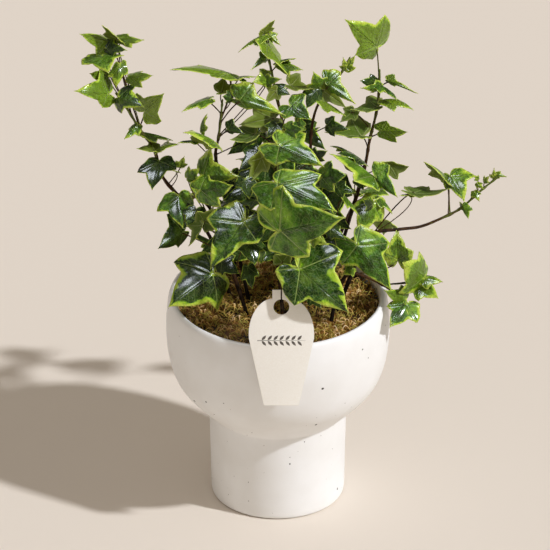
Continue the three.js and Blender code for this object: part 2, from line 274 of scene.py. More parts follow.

# %% [markdown]
# The pot is a turned shape, so it could be a spun outline. Building it ring by ring is closer
# to throwing it: a disc for the underside, pulled up and widened one ring at a time along the
# wall, over the lip and down the inside. The rings are given in mm, the rim's height and the
# widest ring from the CAD pot's own box, and Subdivision Surface rounds the wall between them.

# %% Pot
pot_low, pot_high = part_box("ceramic_pot")
POT_HEIGHT = pot_high.z / MM
BOWL_RADIUS = (pot_high.x - pot_low.x) / 2 / MM
FOOT_HEIGHT = 68
FOOT_TOP = 48.8
WALL = 5.6
RIM, MOUTH = 78, 72
FLOOR = 8

outside_rings = [(44.6, 0), (46.6, 0.5), (47.3, 1.7), (47.5, 3.6), (47.9, 24), (48.4, 46),
                 (FOOT_TOP, FOOT_HEIGHT - 2), (FOOT_TOP + 0.1, FOOT_HEIGHT - 0.3),
                 (FOOT_TOP + 0.9, FOOT_HEIGHT + 0.7), (54.2, 73.0), (60.8, 80), (66.5, 86.2),
                 (70.6, 91.6), (74.2, 98.5), (76.6, 106), (78.5, 116), (BOWL_RADIUS - 0.1, 127),
                 (BOWL_RADIUS, 134), (79.3, 143), (78.7, 150), (RIM, POT_HEIGHT - 4.2),
                 (77.0, POT_HEIGHT - 1.4), (75.9, POT_HEIGHT - 0.3), (75.0, POT_HEIGHT)]
inside_rings = [(74.0, POT_HEIGHT - 0.3), (72.9, POT_HEIGHT - 1.5), (MOUTH + 0.1, POT_HEIGHT - 4.4),
                (72.6, 150), (73.4, 142), (73.9, 133), (72.8, 118), (70.6, 106), (65.4, 95),
                (56.3, 84), (FOOT_TOP - WALL + 0.3, 71.2), (42.4, 60), (41.9, 14), (40.6, 9.4),
                (37, FLOOR)]


def turned(name, rings, segments=96):
    """Pulls a disc up through (radius, height) rings in mm, and closes the last one."""
    radius, height = rings[0]
    bpy.ops.mesh.primitive_circle_add(
        vertices=segments, radius=radius * MM, fill_type="NGON", location=(0, 0, height * MM))
    piece = bpy.context.object
    piece.name = name
    bpy.ops.object.transform_apply(location=True)
    bpy.ops.object.mode_set(mode="EDIT")
    bpy.ops.mesh.select_all(action="SELECT")
    bpy.ops.mesh.flip_normals()
    for (r0, z0), (r1, z1) in zip(rings, rings[1:]):
        if (r0, z0) == rings[0]:
            bpy.ops.mesh.select_mode(type="EDGE")
            bpy.ops.mesh.select_all(action="SELECT")
            bpy.ops.mesh.region_to_loop()
        bpy.ops.mesh.extrude_edges_move(
            TRANSFORM_OT_translate={"value": (0, 0, (z1 - z0) * MM)})
        bpy.ops.transform.resize(value=(r1 / r0, r1 / r0, 1), center_override=(0, 0, z1 * MM))
    bpy.ops.mesh.edge_face_add()
    bpy.ops.mesh.select_all(action="SELECT")
    bpy.ops.mesh.normals_make_consistent(inside=False)
    bpy.ops.object.mode_set(mode="OBJECT")
    return piece


select_only()
pot = turned("pot", outside_rings + inside_rings)
rounding = pot.modifiers.new("rounding", "SUBSURF")
rounding.levels = rounding.render_levels = 1
apply_modifiers(pot)
bpy.ops.object.shade_smooth_by_angle(angle=math.radians(40))
pot.data.materials.append(glaze)
register(pot, "stoneware_pot", ["ceramic_pot"])
print("pot:", len(pot.data.polygons), "faces")

# %% [markdown]
# ## Soil and moss
# The soil is out of sight under the moss, so its CAD solid stays and only gets a crumbly dark
# material. The moss is dry forest moss and coir: thousands of curled strands, brown with a
# few golden and olive ones. A bump map can't give its open, tangled edge. So one lumpy mat
# closes the surface, and tufts of real strands are scattered over it.

# %% Materials: potting mix and dry moss
def potting_mix():
    material, tree = new_material("dark peat potting mix")
    place = add(tree, "TexCoord").outputs["Object"]
    crumb = add(tree, "TexNoise", {"Vector": place, "Scale": 420.0, "Detail": 6.0})
    tone = add(tree, "ValToRGB", {"Fac": crumb.outputs["Fac"]}, stops=[
        (0.35, linear("#17100B")), (0.7, linear("#46352A"))])
    bump = add(tree, "Bump", {"Height": crumb.outputs["Fac"], "Strength": 0.9,
                              "Distance": 0.0015})
    finish_material(tree, add(tree, "BsdfPrincipled", {
        "Base Color": tone.outputs["Color"], "Roughness": 0.95, "Normal": bump.outputs[0]}))
    return material


# Fibre tones, dark to pale. A strand's place on this ramp rises with its height, so the dark end
# low down and on the mat is painted shade, and the pale end at the tips is partly painted light.
MOSS_TONES_AND_PAINTED_LIGHT = ["#38280E", "#A07030", "#A8A048", "#E0B064", "#FFE4B4"]


def dry_moss():
    """Fibre colours run from brown to golden, each strand its own, and grow lighter with height, as
    painted shade and light.
    """
    material, tree = new_material("dry moss and coir fibre")
    place = add(tree, "TexCoord").outputs["Object"]
    # The mat has no tone of its own, so it takes the dark end of the ramp, as painted shade under
    # the strands.
    own = add(tree, "Attribute", attribute_name="tone").outputs["Fac"]
    patch = add(tree, "TexNoise", {"Vector": place, "Scale": 55.0, "Detail": 4.0})
    blend = add(tree, "Math", {0: own, 1: patch.outputs["Fac"]}, operation="ADD")
    half = add(tree, "Math", {0: blend.outputs[0], 1: 0.5}, operation="MULTIPLY")
    tone = add(tree, "ValToRGB", {"Fac": half.outputs[0]}, stops=[
        (0.22 + 0.14 * i, linear(t)) for i, t in enumerate(MOSS_TONES_AND_PAINTED_LIGHT)])
    fibre = add(tree, "TexNoise", {"Vector": place, "Scale": 1500.0, "Detail": 3.0})
    bump = add(tree, "Bump", {"Height": fibre.outputs["Fac"], "Strength": 0.6,
                              "Distance": 0.0003})
    finish_material(tree, add(tree, "BsdfPrincipled", {
        "Base Color": tone.outputs["Color"], "Roughness": 0.9, "Specular IOR Level": 0.2,
        "Normal": bump.outputs[0]}))
    return material


nodes["potting_soil"].data.materials.clear()
nodes["potting_soil"].data.materials.append(potting_mix())
moss_paint = dry_moss()
print("finishes:", nodes["potting_soil"].data.materials[0].name, "and", moss_paint.name)

# %% [markdown]
# The mat is a disc of rings, each extruded from the last and scaled out, with a short skirt
# and a base. Its points are then lifted by a noise, because pressed moss lies in humps that
# sink towards the wall. A displacement modifier would do the same with less control of the rim.

# %% Moss mat
moss_low, moss_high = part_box("moss_topping")
MOSS_RADIUS = (moss_high.x - moss_low.x) / 2 / MM - 0.4
MAT_SEGMENTS, MAT_RINGS = 88, 20
MAT_EDGE_TOP = moss_high.z / MM - 4.4
CROWN, LUMP, EDGE_SINK = 2.6, 1.3, 2.0   # heights in mm
LUMP_PER_MM, LUMP_SLICE = 0.07, 3.1
SKIRT = 5


def mat_height(x, y):
    """Height of the moss in mm: low at the wall, a crown in the middle, lumps of 5 to 15 mm."""
    out = min(1, math.hypot(x, y) / MOSS_RADIUS)
    lumps = noise.fractal(Vector((x * LUMP_PER_MM, y * LUMP_PER_MM, LUMP_SLICE)), 0.7, 2.1, 4)
    return MAT_EDGE_TOP + CROWN * (1 - out ** 3) + LUMP * lumps - EDGE_SINK * out ** 10


select_only()
bpy.ops.mesh.primitive_circle_add(vertices=MAT_SEGMENTS, radius=MOSS_RADIUS * MM / MAT_RINGS,
                                  fill_type="TRIFAN")
moss = bpy.context.object
bpy.ops.object.mode_set(mode="EDIT")
bpy.ops.mesh.select_mode(type="EDGE")
bpy.ops.mesh.select_all(action="SELECT")
bpy.ops.mesh.region_to_loop()
for ring in range(2, MAT_RINGS + 1):
    bpy.ops.mesh.extrude_edges_move(TRANSFORM_OT_translate={"value": (0, 0, 0)})
    bpy.ops.transform.resize(value=(ring / (ring - 1),) * 2 + (1,), center_override=(0, 0, 0))
bpy.ops.mesh.extrude_edges_move(TRANSFORM_OT_translate={"value": (0, 0, -SKIRT * MM)})
bpy.ops.mesh.edge_face_add()
bpy.ops.mesh.select_all(action="SELECT")
bpy.ops.mesh.normals_make_consistent(inside=False)
bpy.ops.object.mode_set(mode="OBJECT")
for v in moss.data.vertices:
    if v.co.z > -MM:
        v.co.z = mat_height(v.co.x / MM, v.co.y / MM) * MM
    else:
        v.co.z = moss_low.z + 0.2 * MM
bpy.ops.object.shade_smooth()
moss.data.materials.append(moss_paint)
register(moss, "moss_mat", ["moss_topping"])
print("moss mat:", len(moss.data.polygons), "faces")

# %% [markdown]
# Strands, stalks and vines are all thin tubes along a route, so they share one helper: a
# curve with a round bevel whose radius changes from point to point, made into a mesh. That is
# how a tapering stem is drawn by hand, and it keeps every section square to the route.

# %% Tube helper
def tube(name, points, radii, sides=8):
    """A closed tube through points in metres. radii has one value per point, in metres."""
    data = bpy.data.curves.new(name, "CURVE")
    data.dimensions = "3D"
    data.bevel_depth = 1.0
    data.bevel_resolution = max(0, sides // 2 - 2)
    data.use_fill_caps = True
    spline = data.splines.new("POLY")
    spline.points.add(len(points) - 1)
    for point, where, radius in zip(spline.points, points, radii):
        point.co = (*where, 1)
        point.radius = radius
    piece = bpy.data.objects.new(name, data)
    bpy.context.scene.collection.objects.link(piece)
    select_only(piece)
    bpy.ops.object.convert(target="MESH")
    piece = bpy.context.object
    bpy.ops.object.shade_smooth()
    return piece


def set_attribute(mesh, name, values):
    attribute = mesh.attributes.get(name) or mesh.attributes.new(name, "FLOAT", "POINT")
    attribute.data.foreach_set("value", np.asarray(values, np.float32))


# %% [markdown]
# Each fibre is a curled, tapering tube of a few dozen faces that wanders, rises and comes
# back to the mat. Six kinds of tuft are made once and copied on a sunflower spiral, which
# covers the disc evenly without rows. A particle system would be quicker, but its hairs
# aren't meshes.

# %% Moss strands
STRANDS_IN_TUFT = 16
TUFTS, TUFT_KINDS = 210, 6
STRAND_STEPS = 6
STRAND_LENGTHS, STRAND_LIFTS, STRAND_RADII = (3, 9), (1.0, 4.2), (0.22, 0.5)   # mm
TUFT_SPREAD, BURIED, TALLEST = 3.0, -0.6, 9
TUFT_MARGIN = 4.5
GOLDEN_ANGLE = math.radians(137.5)
dice = random.Random(11)


def strand_route(length, lift):
    """A curled fibre: it wanders sideways, rises and comes back to the mat."""
    heading = dice.uniform(0, math.tau)
    turn = dice.uniform(-1.5, 1.5)
    at = Vector((dice.gauss(0, TUFT_SPREAD), dice.gauss(0, TUFT_SPREAD), BURIED))
    route = []
    step = length / STRAND_STEPS
    for i in range(STRAND_STEPS + 1):
        share = i / STRAND_STEPS
        route.append(at * MM)
        at = at + Vector((math.cos(heading) * step, math.sin(heading) * step, 0))
        at.z = BURIED + lift * math.sin(math.pi * min(1, share + 0.15)) + dice.gauss(0, 0.15)
        heading += turn / STRAND_STEPS * 2 + dice.gauss(0, 0.25)
    return route


tuft_kinds = []
for kind in range(TUFT_KINDS):
    strands = []
    for _ in range(STRANDS_IN_TUFT):
        route = strand_route(dice.uniform(*STRAND_LENGTHS), dice.uniform(*STRAND_LIFTS))
        thick = dice.uniform(*STRAND_RADII) * MM
        radii = [thick * (1 - 0.6 * i / STRAND_STEPS) for i in range(len(route))]
        strand = tube("strand", route, radii, sides=4)
        own = dice.random()
        # Height raises the tone: painted shade low on each strand and painted light at its tip.
        set_attribute(strand.data, "tone", [own * 0.7 + v.co.z / (TALLEST * MM)
                                            for v in strand.data.vertices])
        strands.append(strand)
    select_only(*strands)
    bpy.ops.object.join()
    tuft_kinds.append(bpy.context.object)

tufts = []
for i in range(TUFTS):
    reach = MOSS_RADIUS * math.sqrt((i + 0.5) / TUFTS)
    angle = i * GOLDEN_ANGLE
    reach = min(reach, MOSS_RADIUS - TUFT_MARGIN) + dice.uniform(-1.5, 0)
    x, y = reach * math.cos(angle), reach * math.sin(angle)
    tuft = tuft_kinds[i % TUFT_KINDS].copy()
    tuft.data = tuft.data.copy()
    bpy.context.scene.collection.objects.link(tuft)
    place = Matrix.Translation(Vector((x, y, mat_height(x, y))) * MM)
    turn = Matrix.Rotation(dice.uniform(0, math.tau), 4, "Z")
    tuft.data.transform(place @ turn @ Matrix.Scale(dice.uniform(0.8, 1.25), 4))
    tufts.append(tuft)
select_only(*tuft_kinds)
bpy.ops.object.delete()
select_only(*tufts)
bpy.ops.object.join()
fibres = bpy.context.object
coordinates = np.array([v.co for v in fibres.data.vertices])
reach = np.hypot(coordinates[:, 0], coordinates[:, 1])
limit = (MOSS_RADIUS - 0.3) * MM
coordinates[:, :2] *= np.minimum(1, limit / np.maximum(reach, 1e-9))[:, None]
fibres.data.vertices.foreach_set("co", coordinates.astype(np.float32).ravel())
fibres.data.materials.append(moss_paint)
register(fibres, "moss_strands")
print("moss strands:", len(fibres.data.polygons), "faces")

# %% [markdown]
# ## Vines
# Ivy stems are woody and brown near the soil and turn green and thin towards the growing
# tip. They thicken a little at each node, where a leaf stalk leaves. The routes go through the
# same points as the CAD vines. Each is smoothed, given a taper and swollen at its nodes.

# %% Vine routes
ROOT = 138   # mm, the height at which every vine starts, inside the soil
VINES = {
    "left": [(-30, 10, ROOT), (-38, 12, 165), (-47, 14, 195), (-62, 18, 219), (-81, 22, 241),
             (-88, 24, 264), (-98, 26, 279), (-107, 28, 295), (-115, 30, 306)],
    "left_inner": [(-18, 2, ROOT), (-26, 4, 180), (-36, 6, 225), (-44, 8, 268), (-42, 9, 281),
                   (-40, 10, 300), (-39, 12, 311)],
    "left_front": [(-18, -18, ROOT), (-30, -16, 180), (-42, -10, 212), (-49, -4, 238)],
    "centre": [(4, 4, ROOT), (8, 4, 180), (9, 4, 225), (6, 4, 268), (4, 7, 290),
               (-2, 14, 318), (-6, 18, 338), (-9, 20, 350)],
    "front": [(5, -24, ROOT), (2, -28, 178), (-1, -26, 220), (-1, -19, 255), (0, -14, 280)],
    "right": [(27, 10, ROOT), (42, 14, 180), (54, 18, 222), (62, 21, 253), (65, 24, 271),
              (70, 28, 293), (72, 31, 316), (72, 32, 324)],
    "right_inner": [(15, -8, ROOT), (20, -4, 190), (23, 0, 240), (23, 5, 273), (25, 8, 297),
                    (30, 10, 311), (42, 12, 327), (51, 14, 344)],
    "right_long": [(38, -12, ROOT), (52, -10, 180), (66, -8, 212), (86, -2, 213),
                   (101, 2, 213), (115, 6, 217), (129, 8, 224), (143, 10, 237), (157, 10, 250)],
    "right_spill": [(36, -26, ROOT), (42, -24, 172), (50, -20, 187), (65, -16, 181),
                    (75, -14, 174), (83, -14, 168), (91, -16, 161)],
    "back_left": [(-24, 30, ROOT), (-36, 44, 176), (-50, 64, 195), (-60, 84, 190),
                  (-66, 96, 170)],
    "back": [(4, 36, ROOT), (6, 52, 183), (4, 73, 203), (0, 92, 195), (-4, 102, 172),
             (-6, 105, 150)],
    "back_right": [(30, 32, ROOT), (44, 46, 180), (56, 64, 197), (68, 80, 188), (74, 90, 168)],
}


def smooth_route(points, per_span=10):
    """A centripetal Catmull-Rom curve through the points, sampled evenly in each span."""
    knots = [Vector(p) * MM for p in points]
    knots = [knots[0] * 2 - knots[1], *knots, knots[-1] * 2 - knots[-2]]
    route = []
    for a, b, c, d in zip(knots, knots[1:], knots[2:], knots[3:]):
        t1 = (b - a).length ** 0.5
        t2 = t1 + (c - b).length ** 0.5
        t3 = t2 + (d - c).length ** 0.5
        for i in range(per_span):
            t = t1 + (t2 - t1) * i / per_span
            ab = a.lerp(b, t / t1)
            bc = b.lerp(c, (t - t1) / (t2 - t1))
            cd = c.lerp(d, (t - t2) / (t3 - t2))
            abc = ab.lerp(bc, t / t2)
            bcd = bc.lerp(cd, (t - t1) / (t3 - t1))
            route.append(abc.lerp(bcd, (t - t1) / (t2 - t1)))
    return route + [knots[-2]]


routes = {name: smooth_route(points) for name, points in VINES.items()}
print("vines:", {name: round(sum((b - a).length for a, b in zip(r, r[1:])) / MM)
                 for name, r in routes.items()}, "mm long")

# %% [markdown]
# ## Leaves
# A leaf of this ivy is a thin waxy blade with five lobes, and five main veins that run from
# the stalk to the lobe tips. Its middle is dark green, marbled with grey-green, and its wavy
# margin is yellow-green where the cells hold little chlorophyll. The underside is pale and
# dull. Blades are modelled flat as a wheel of rays from the stalk, because the veins are rays
# too, so each main vein lies on a line of vertices. Each copy is then bent its own way.

# %% Leaf outlines
def at_angle(degrees, reach):
    return (reach * math.cos(math.radians(degrees)), reach * math.sin(math.radians(degrees)))


# For a heart-to-tip length of 1, one side from the stalk's notch to the middle lobe's tip.
# Points with a lobe mark are pointed; the curve is smooth through the others.
OUTLINES = {
    "long": [("", (-0.025, 0)), ("", (-0.12, 0.06)), ("", at_angle(146, 0.29)),
             ("lobe", at_angle(128, 0.42)), ("", at_angle(113, 0.42)), ("", at_angle(99, 0.43)),
             ("", at_angle(79, 0.54)), ("lobe", at_angle(61, 0.64)), ("", at_angle(49, 0.56)),
             ("", at_angle(38, 0.51)), ("", (0.49, 0.285)), ("", (0.66, 0.22)),
             ("", (0.84, 0.11)), ("lobe", (1, 0))],
    "broad": [("", (-0.025, 0)), ("", (-0.14, 0.08)), ("", at_angle(143, 0.38)),
              ("lobe", at_angle(124, 0.49)), ("", at_angle(110, 0.46)), ("", at_angle(97, 0.47)),
              ("", at_angle(80, 0.59)), ("lobe", at_angle(63, 0.71)), ("", at_angle(51, 0.62)),
              ("", at_angle(40, 0.57)), ("", (0.54, 0.33)), ("", (0.69, 0.25)),
              ("", (0.86, 0.12)), ("lobe", (1, 0))],
    "arrow": [("", (-0.02, 0)), ("", (-0.07, 0.05)), ("", at_angle(138, 0.19)),
              ("lobe", at_angle(118, 0.26)), ("", at_angle(104, 0.26)), ("", at_angle(90, 0.29)),
              ("", at_angle(74, 0.38)), ("lobe", at_angle(58, 0.46)), ("", at_angle(45, 0.39)),
              ("", at_angle(30, 0.38)), ("", (0.46, 0.175)), ("", (0.64, 0.145)),
              ("", (0.83, 0.075)), ("lobe", (1, 0))],
    "young": [("", (-0.02, 0)), ("", (-0.10, 0.08)), ("", at_angle(140, 0.26)),
              ("lobe", at_angle(116, 0.31)), ("", at_angle(100, 0.31)), ("", at_angle(88, 0.34)),
              ("", at_angle(70, 0.43)), ("lobe", at_angle(54, 0.52)), ("", at_angle(43, 0.45)),
              ("", at_angle(32, 0.43)), ("", (0.50, 0.19)), ("", (0.68, 0.14)),
              ("", (0.85, 0.065)), ("lobe", (1, 0))],
}
RAYS_PER_STRETCH = (12, 14, 26)  # notch to basal lobe, to side lobe, to middle lobe
RINGS = 11


def smooth_stretch(points, count):
    """count points along a smooth curve through points, evenly spaced, without the last."""
    knots = [np.array(p) for p in points]
    knots = [2 * knots[0] - knots[1], *knots, 2 * knots[-1] - knots[-2]]
    dense = []
    for a, b, c, d in zip(knots, knots[1:], knots[2:], knots[3:]):
        for t in np.linspace(0, 1, 12, endpoint=False):
            dense.append(0.5 * (2 * b + (c - a) * t + (2 * a - 5 * b + 4 * c - d) * t ** 2
                                + (3 * b - a - 3 * c + d) * t ** 3))
    dense = np.array(dense + [knots[-2]])
    along = np.concatenate([[0], np.cumsum(np.linalg.norm(np.diff(dense, axis=0), axis=1))])
    wanted = np.linspace(0, along[-1], count, endpoint=False)
    return np.stack([np.interp(wanted, along, dense[:, i]) for i in (0, 1)], axis=1)


def outline_points(kind):
    """The closed outline, from the notch round one side to the tip and back, and its lobes."""
    side = OUTLINES[kind]
    corners = [0] + [i for i, (mark, _) in enumerate(side) if mark]
    points = [p for _, p in side]
    half = np.concatenate([smooth_stretch(points[a:b + 1], n)
                           for (a, b), n in zip(zip(corners, corners[1:]), RAYS_PER_STRETCH)])
    tip = np.array([points[-1]])
    back = half[1:][::-1] * [1, -1]
    lobe_tips = [p for mark, p in side if mark]
    lobe_tips += [(x, -y) for x, y in lobe_tips[:-1]]
    return np.concatenate([half, tip, back]), np.array(lobe_tips)


for kind in OUTLINES:
    outline, _ = outline_points(kind)
    print(kind, "leaf:", len(outline), "rays; length to breadth 1 :",
          round(float(np.ptp(outline[:, 1])), 2))

# %% [markdown]
# The shader needs to know where it is on the leaf. Three numbers are stored on each vertex of
# the flat blade: how far it is from the margin, how far from the nearest main vein, and how
# far along that vein. The margin's gold, the veins and the side veins are all drawn from them.

# %% Flat blades
VEIN_SHARE = 0.97           # how much of the way to a lobe's tip its vein goes
UV_SHIFT, UV_SPAN = [0.5, 0.8], 1.6


def distance_to_lines(points, starts, ends):
    """Distance of each point to each line piece, and how far along the piece that is."""
    run = ends - starts
    offset = points[:, None] - starts[None]
    share = np.clip((offset * run).sum(2) / (run ** 2).sum(1), 0, 1)
    gap = np.linalg.norm(offset - share[..., None] * run, axis=2)
    return gap, share * np.linalg.norm(run, axis=1)


def flat_blade(kind):
    outline, lobe_tips = outline_points(kind)
    rays = len(outline)
    bpy.ops.mesh.primitive_circle_add(vertices=rays, radius=1 / RINGS, fill_type="TRIFAN")
    blade = bpy.context.object
    bpy.ops.object.mode_set(mode="EDIT")
    bpy.ops.mesh.select_mode(type="EDGE")
    bpy.ops.mesh.select_all(action="SELECT")
    bpy.ops.mesh.region_to_loop()
    for ring in range(2, RINGS + 1):
        bpy.ops.mesh.extrude_edges_move(TRANSFORM_OT_translate={"value": (0, 0, 0)})
        bpy.ops.transform.resize(value=(ring / (ring - 1),) * 2 + (1,),
                                 center_override=(0, 0, 0))
    bpy.ops.object.mode_set(mode="OBJECT")
    wheel = np.array([v.co for v in blade.data.vertices])
    share = np.hypot(wheel[:, 0], wheel[:, 1])
    ray = np.round(np.arctan2(wheel[:, 1], wheel[:, 0]) / math.tau * rays).astype(int) % rays
    flat = outline[(-ray) % rays] * share[:, None]
    flat_3d = np.column_stack([flat, np.zeros(len(flat))])
    blade.data.vertices.foreach_set("co", flat_3d.astype(np.float32).ravel())
    gap, _ = distance_to_lines(flat, outline, np.roll(outline, -1, axis=0))
    set_attribute(blade.data, "margin", gap.min(1))
    gap, along = distance_to_lines(flat, np.zeros_like(lobe_tips), lobe_tips * VEIN_SHARE)
    nearest = gap.argmin(1)
    every = np.arange(len(flat))
    set_attribute(blade.data, "vein_gap", gap[every, nearest])
    set_attribute(blade.data, "vein_run", along[every, nearest])
    uv = blade.data.uv_layers.new(name="blade")
    corner = np.zeros(len(blade.data.loops), int)
    blade.data.loops.foreach_get("vertex_index", corner)
    uv.data.foreach_set(
        "uv", ((flat[corner] + UV_SHIFT) / UV_SPAN).astype(np.float32).ravel())
    select_only(blade)
    bpy.ops.object.mode_set(mode="EDIT")
    bpy.ops.mesh.select_all(action="SELECT")
    bpy.ops.mesh.normals_make_consistent(inside=False)
    bpy.ops.object.mode_set(mode="OBJECT")
    if blade.data.polygons[0].normal.z < 0:
        blade.data.flip_normals()
    return blade


select_only()
blades = {kind: flat_blade(kind) for kind in OUTLINES}
print("blade faces:", len(blades["long"].data.polygons))

# %% [markdown]
# An ivy leaf's upper face has a waxy cuticle: a thin clear coat over matt green flesh, with a
# crisp highlight that is broken by fine wrinkles. Its IOR is near 1.5. Its veins are pale.
# The underside has no such coat. Both are drawn in the blade's own UV map, so the pattern
# bends with the leaf, and light passes a little way through both, as in real leaves.

# %% Leaf pattern: veins
def leaf_pattern(tree):
    """What both faces share: the stored numbers, the place on the blade, and the veins."""
    read = {name: add(tree, "Attribute", attribute_name=name).outputs["Fac"]
            for name in ("margin", "vein_gap", "vein_run", "gold", "shade")}
    uv = add(tree, "UVMap", uv_map="blade").outputs["UV"]
    shift = add(tree, "CombineXYZ", {"Z": read["shade"]})
    spot = add(tree, "VectorMath", {0: uv, 1: shift.outputs[0]}, operation="ADD")
    spot = spot.outputs["Vector"]
    # Main veins are 0.022 of the leaf wide at the stalk and thin out to nothing at the tip.
    width = add(tree, "MapRange", {"Value": read["vein_run"], "From Min": 0.0,
                                   "From Max": 1.0, "To Min": 0.013, "To Max": 0.003})
    main = add(tree, "Math", {0: read["vein_gap"], 1: width.outputs["Result"]},
               operation="DIVIDE")
    main = add(tree, "MapRange", {"Value": main.outputs[0], "From Min": 0.35,
                                  "From Max": 1.3, "To Min": 1.0, "To Max": 0.0})
    # Side veins leave a main vein forwards at 45 degrees, about every eighth of the leaf.
    lean = add(tree, "Math", {0: read["vein_run"], 1: read["vein_gap"]}, operation="SUBTRACT")
    wander = add(tree, "TexNoise", {"Vector": spot, "Scale": 9.0, "Detail": 1.0})
    stray = add(tree, "Math", {0: wander.outputs["Fac"], 1: 0.07}, operation="MULTIPLY")
    lean = add(tree, "Math", {0: lean.outputs[0], 1: stray.outputs[0]}, operation="ADD")
    row = add(tree, "Math", {0: lean.outputs[0], 1: 0.058}, operation="PINGPONG")
    side = add(tree, "MapRange", {"Value": row.outputs[0], "From Min": 0.0, "From Max": 0.008,
                                  "To Min": 1.0, "To Max": 0.0})
    fade = add(tree, "MapRange", {"Value": read["vein_gap"], "From Min": 0.03,
                                  "From Max": 0.17, "To Min": 0.75, "To Max": 0.0})
    side = add(tree, "Math", {0: side.outputs["Result"], 1: fade.outputs["Result"]},
               operation="MULTIPLY")
    net = add(tree, "TexVoronoi", {"Vector": spot, "Scale": 34.0}, feature="DISTANCE_TO_EDGE")
    mesh = add(tree, "MapRange", {"Value": net.outputs["Distance"], "From Min": 0.0,
                                  "From Max": 0.07, "To Min": 0.32, "To Max": 0.0})
    veins = add(tree, "Math", {0: main.outputs["Result"], 1: side.outputs[0]},
                operation="MAXIMUM")
    all_veins = add(tree, "Math", {0: veins.outputs[0], 1: mesh.outputs["Result"]},
                    operation="MAXIMUM")
    return read, spot, veins.outputs[0], all_veins.outputs[0]


# %% Material: waxy upper face
def leaf_upper():
    material, tree = new_material("waxy upper face of a variegated ivy leaf")
    read, spot, veins, all_veins = leaf_pattern(tree)
    # The dark middle is marbled with grey-green, mostly beside the veins.
    cloud = add(tree, "TexNoise", {"Vector": spot, "Scale": 4.6, "Detail": 5.0,
                                   "Roughness": 0.6})
    marble = add(tree, "ValToRGB", {"Fac": cloud.outputs["Fac"]}, stops=[
        (0.38, linear("#1A3A02")), (0.51, linear("#40720C")), (0.66, linear("#86AE34"))])
    # A shade below 0 blends the middle towards almost black-green: painted shade on the "dark" and
    # "deep" leaves.
    age = add(tree, "MapRange", {"Value": read["shade"], "From Min": -0.5, "From Max": 0.0})
    painted_shade_mix = add(tree, "Mix", {"Factor": age.outputs["Result"], "A": linear("#0D1C03"),
                            "B": marble.outputs["Color"]}, data_type="RGBA")
    # Mixing towards olive gives each look its own tone, and on the "olive" leaves at the top of the
    # crown it is painted light shining through them from behind.
    olive = add(tree, "Mix", {"Factor": read["shade"], "A": painted_shade_mix.outputs["Result"],
                              "B": linear("#728C10")}, data_type="RGBA")
    # The margin's width is the leaf's own, in leaf lengths, and is broken up by patches.
    edge_noise = add(tree, "TexNoise", {"Vector": spot, "Scale": 4.5, "Detail": 3.0,
                                        "Roughness": 0.55, "Distortion": 0.5})
    ragged = add(tree, "MapRange", {"Value": edge_noise.outputs["Fac"], "From Min": 0.36,
                                    "From Max": 0.68, "To Min": 0.1, "To Max": 2.8})
    width = add(tree, "Math", {0: read["gold"], 1: ragged.outputs["Result"]},
                operation="MULTIPLY")
    inward = add(tree, "Math", {0: read["margin"], 1: width.outputs[0]}, operation="DIVIDE")
    gold = add(tree, "ValToRGB", {"Fac": inward.outputs[0]}, stops=[
        (0.0, linear("#CCDA5C")), (0.5, linear("#B0C838")), (0.8, linear("#88B022")),
        (0.97, linear("#5C8C12"))])
    in_gold = add(tree, "MapRange", {"Value": inward.outputs[0], "From Min": 0.75,
                                     "From Max": 1.1, "To Min": 1.0, "To Max": 0.0})
    colour = add(tree, "Mix", {"Factor": in_gold.outputs["Result"],
                               "A": olive.outputs["Result"], "B": gold.outputs["Color"]},
                 data_type="RGBA")
    pale = add(tree, "Math", {0: all_veins, 1: 0.8}, operation="MULTIPLY")
    colour = add(tree, "Mix", {"Factor": pale.outputs[0], "A": colour.outputs["Result"],
                               "B": linear("#A9C06A")}, data_type="RGBA")
    wrinkle = add(tree, "TexNoise", {"Vector": spot, "Scale": 17.0, "Detail": 2.0,
                                     "Distortion": 0.4})
    deep = add(tree, "Math", {0: wrinkle.outputs["Fac"], 1: 2.2}, operation="MULTIPLY")
    groove = add(tree, "Math", {0: veins, 1: 0.7}, operation="MULTIPLY")
    relief = add(tree, "Math", {0: deep.outputs[0], 1: groove.outputs[0]},
                 operation="SUBTRACT")
    bump = add(tree, "Bump", {"Height": relief.outputs[0], "Strength": 0.9,
                              "Distance": 0.0011})
    rough = add(tree, "MapRange", {"Value": cloud.outputs["Fac"], "To Min": 0.34,
                                   "To Max": 0.5})
    finish_material(tree, add(tree, "BsdfPrincipled", {
        "Base Color": colour.outputs["Result"], "Roughness": rough.outputs["Result"],
        "Specular IOR Level": 0.12, "Subsurface Weight": 0.12,
        "Subsurface Radius": (0.6, 1.0, 0.15), "Subsurface Scale": 0.001,
        "Coat Weight": 0.5, "Coat Roughness": 0.17, "Normal": bump.outputs[0]}))
    return material


upper_face = leaf_upper()
print("finish:", upper_face.name)


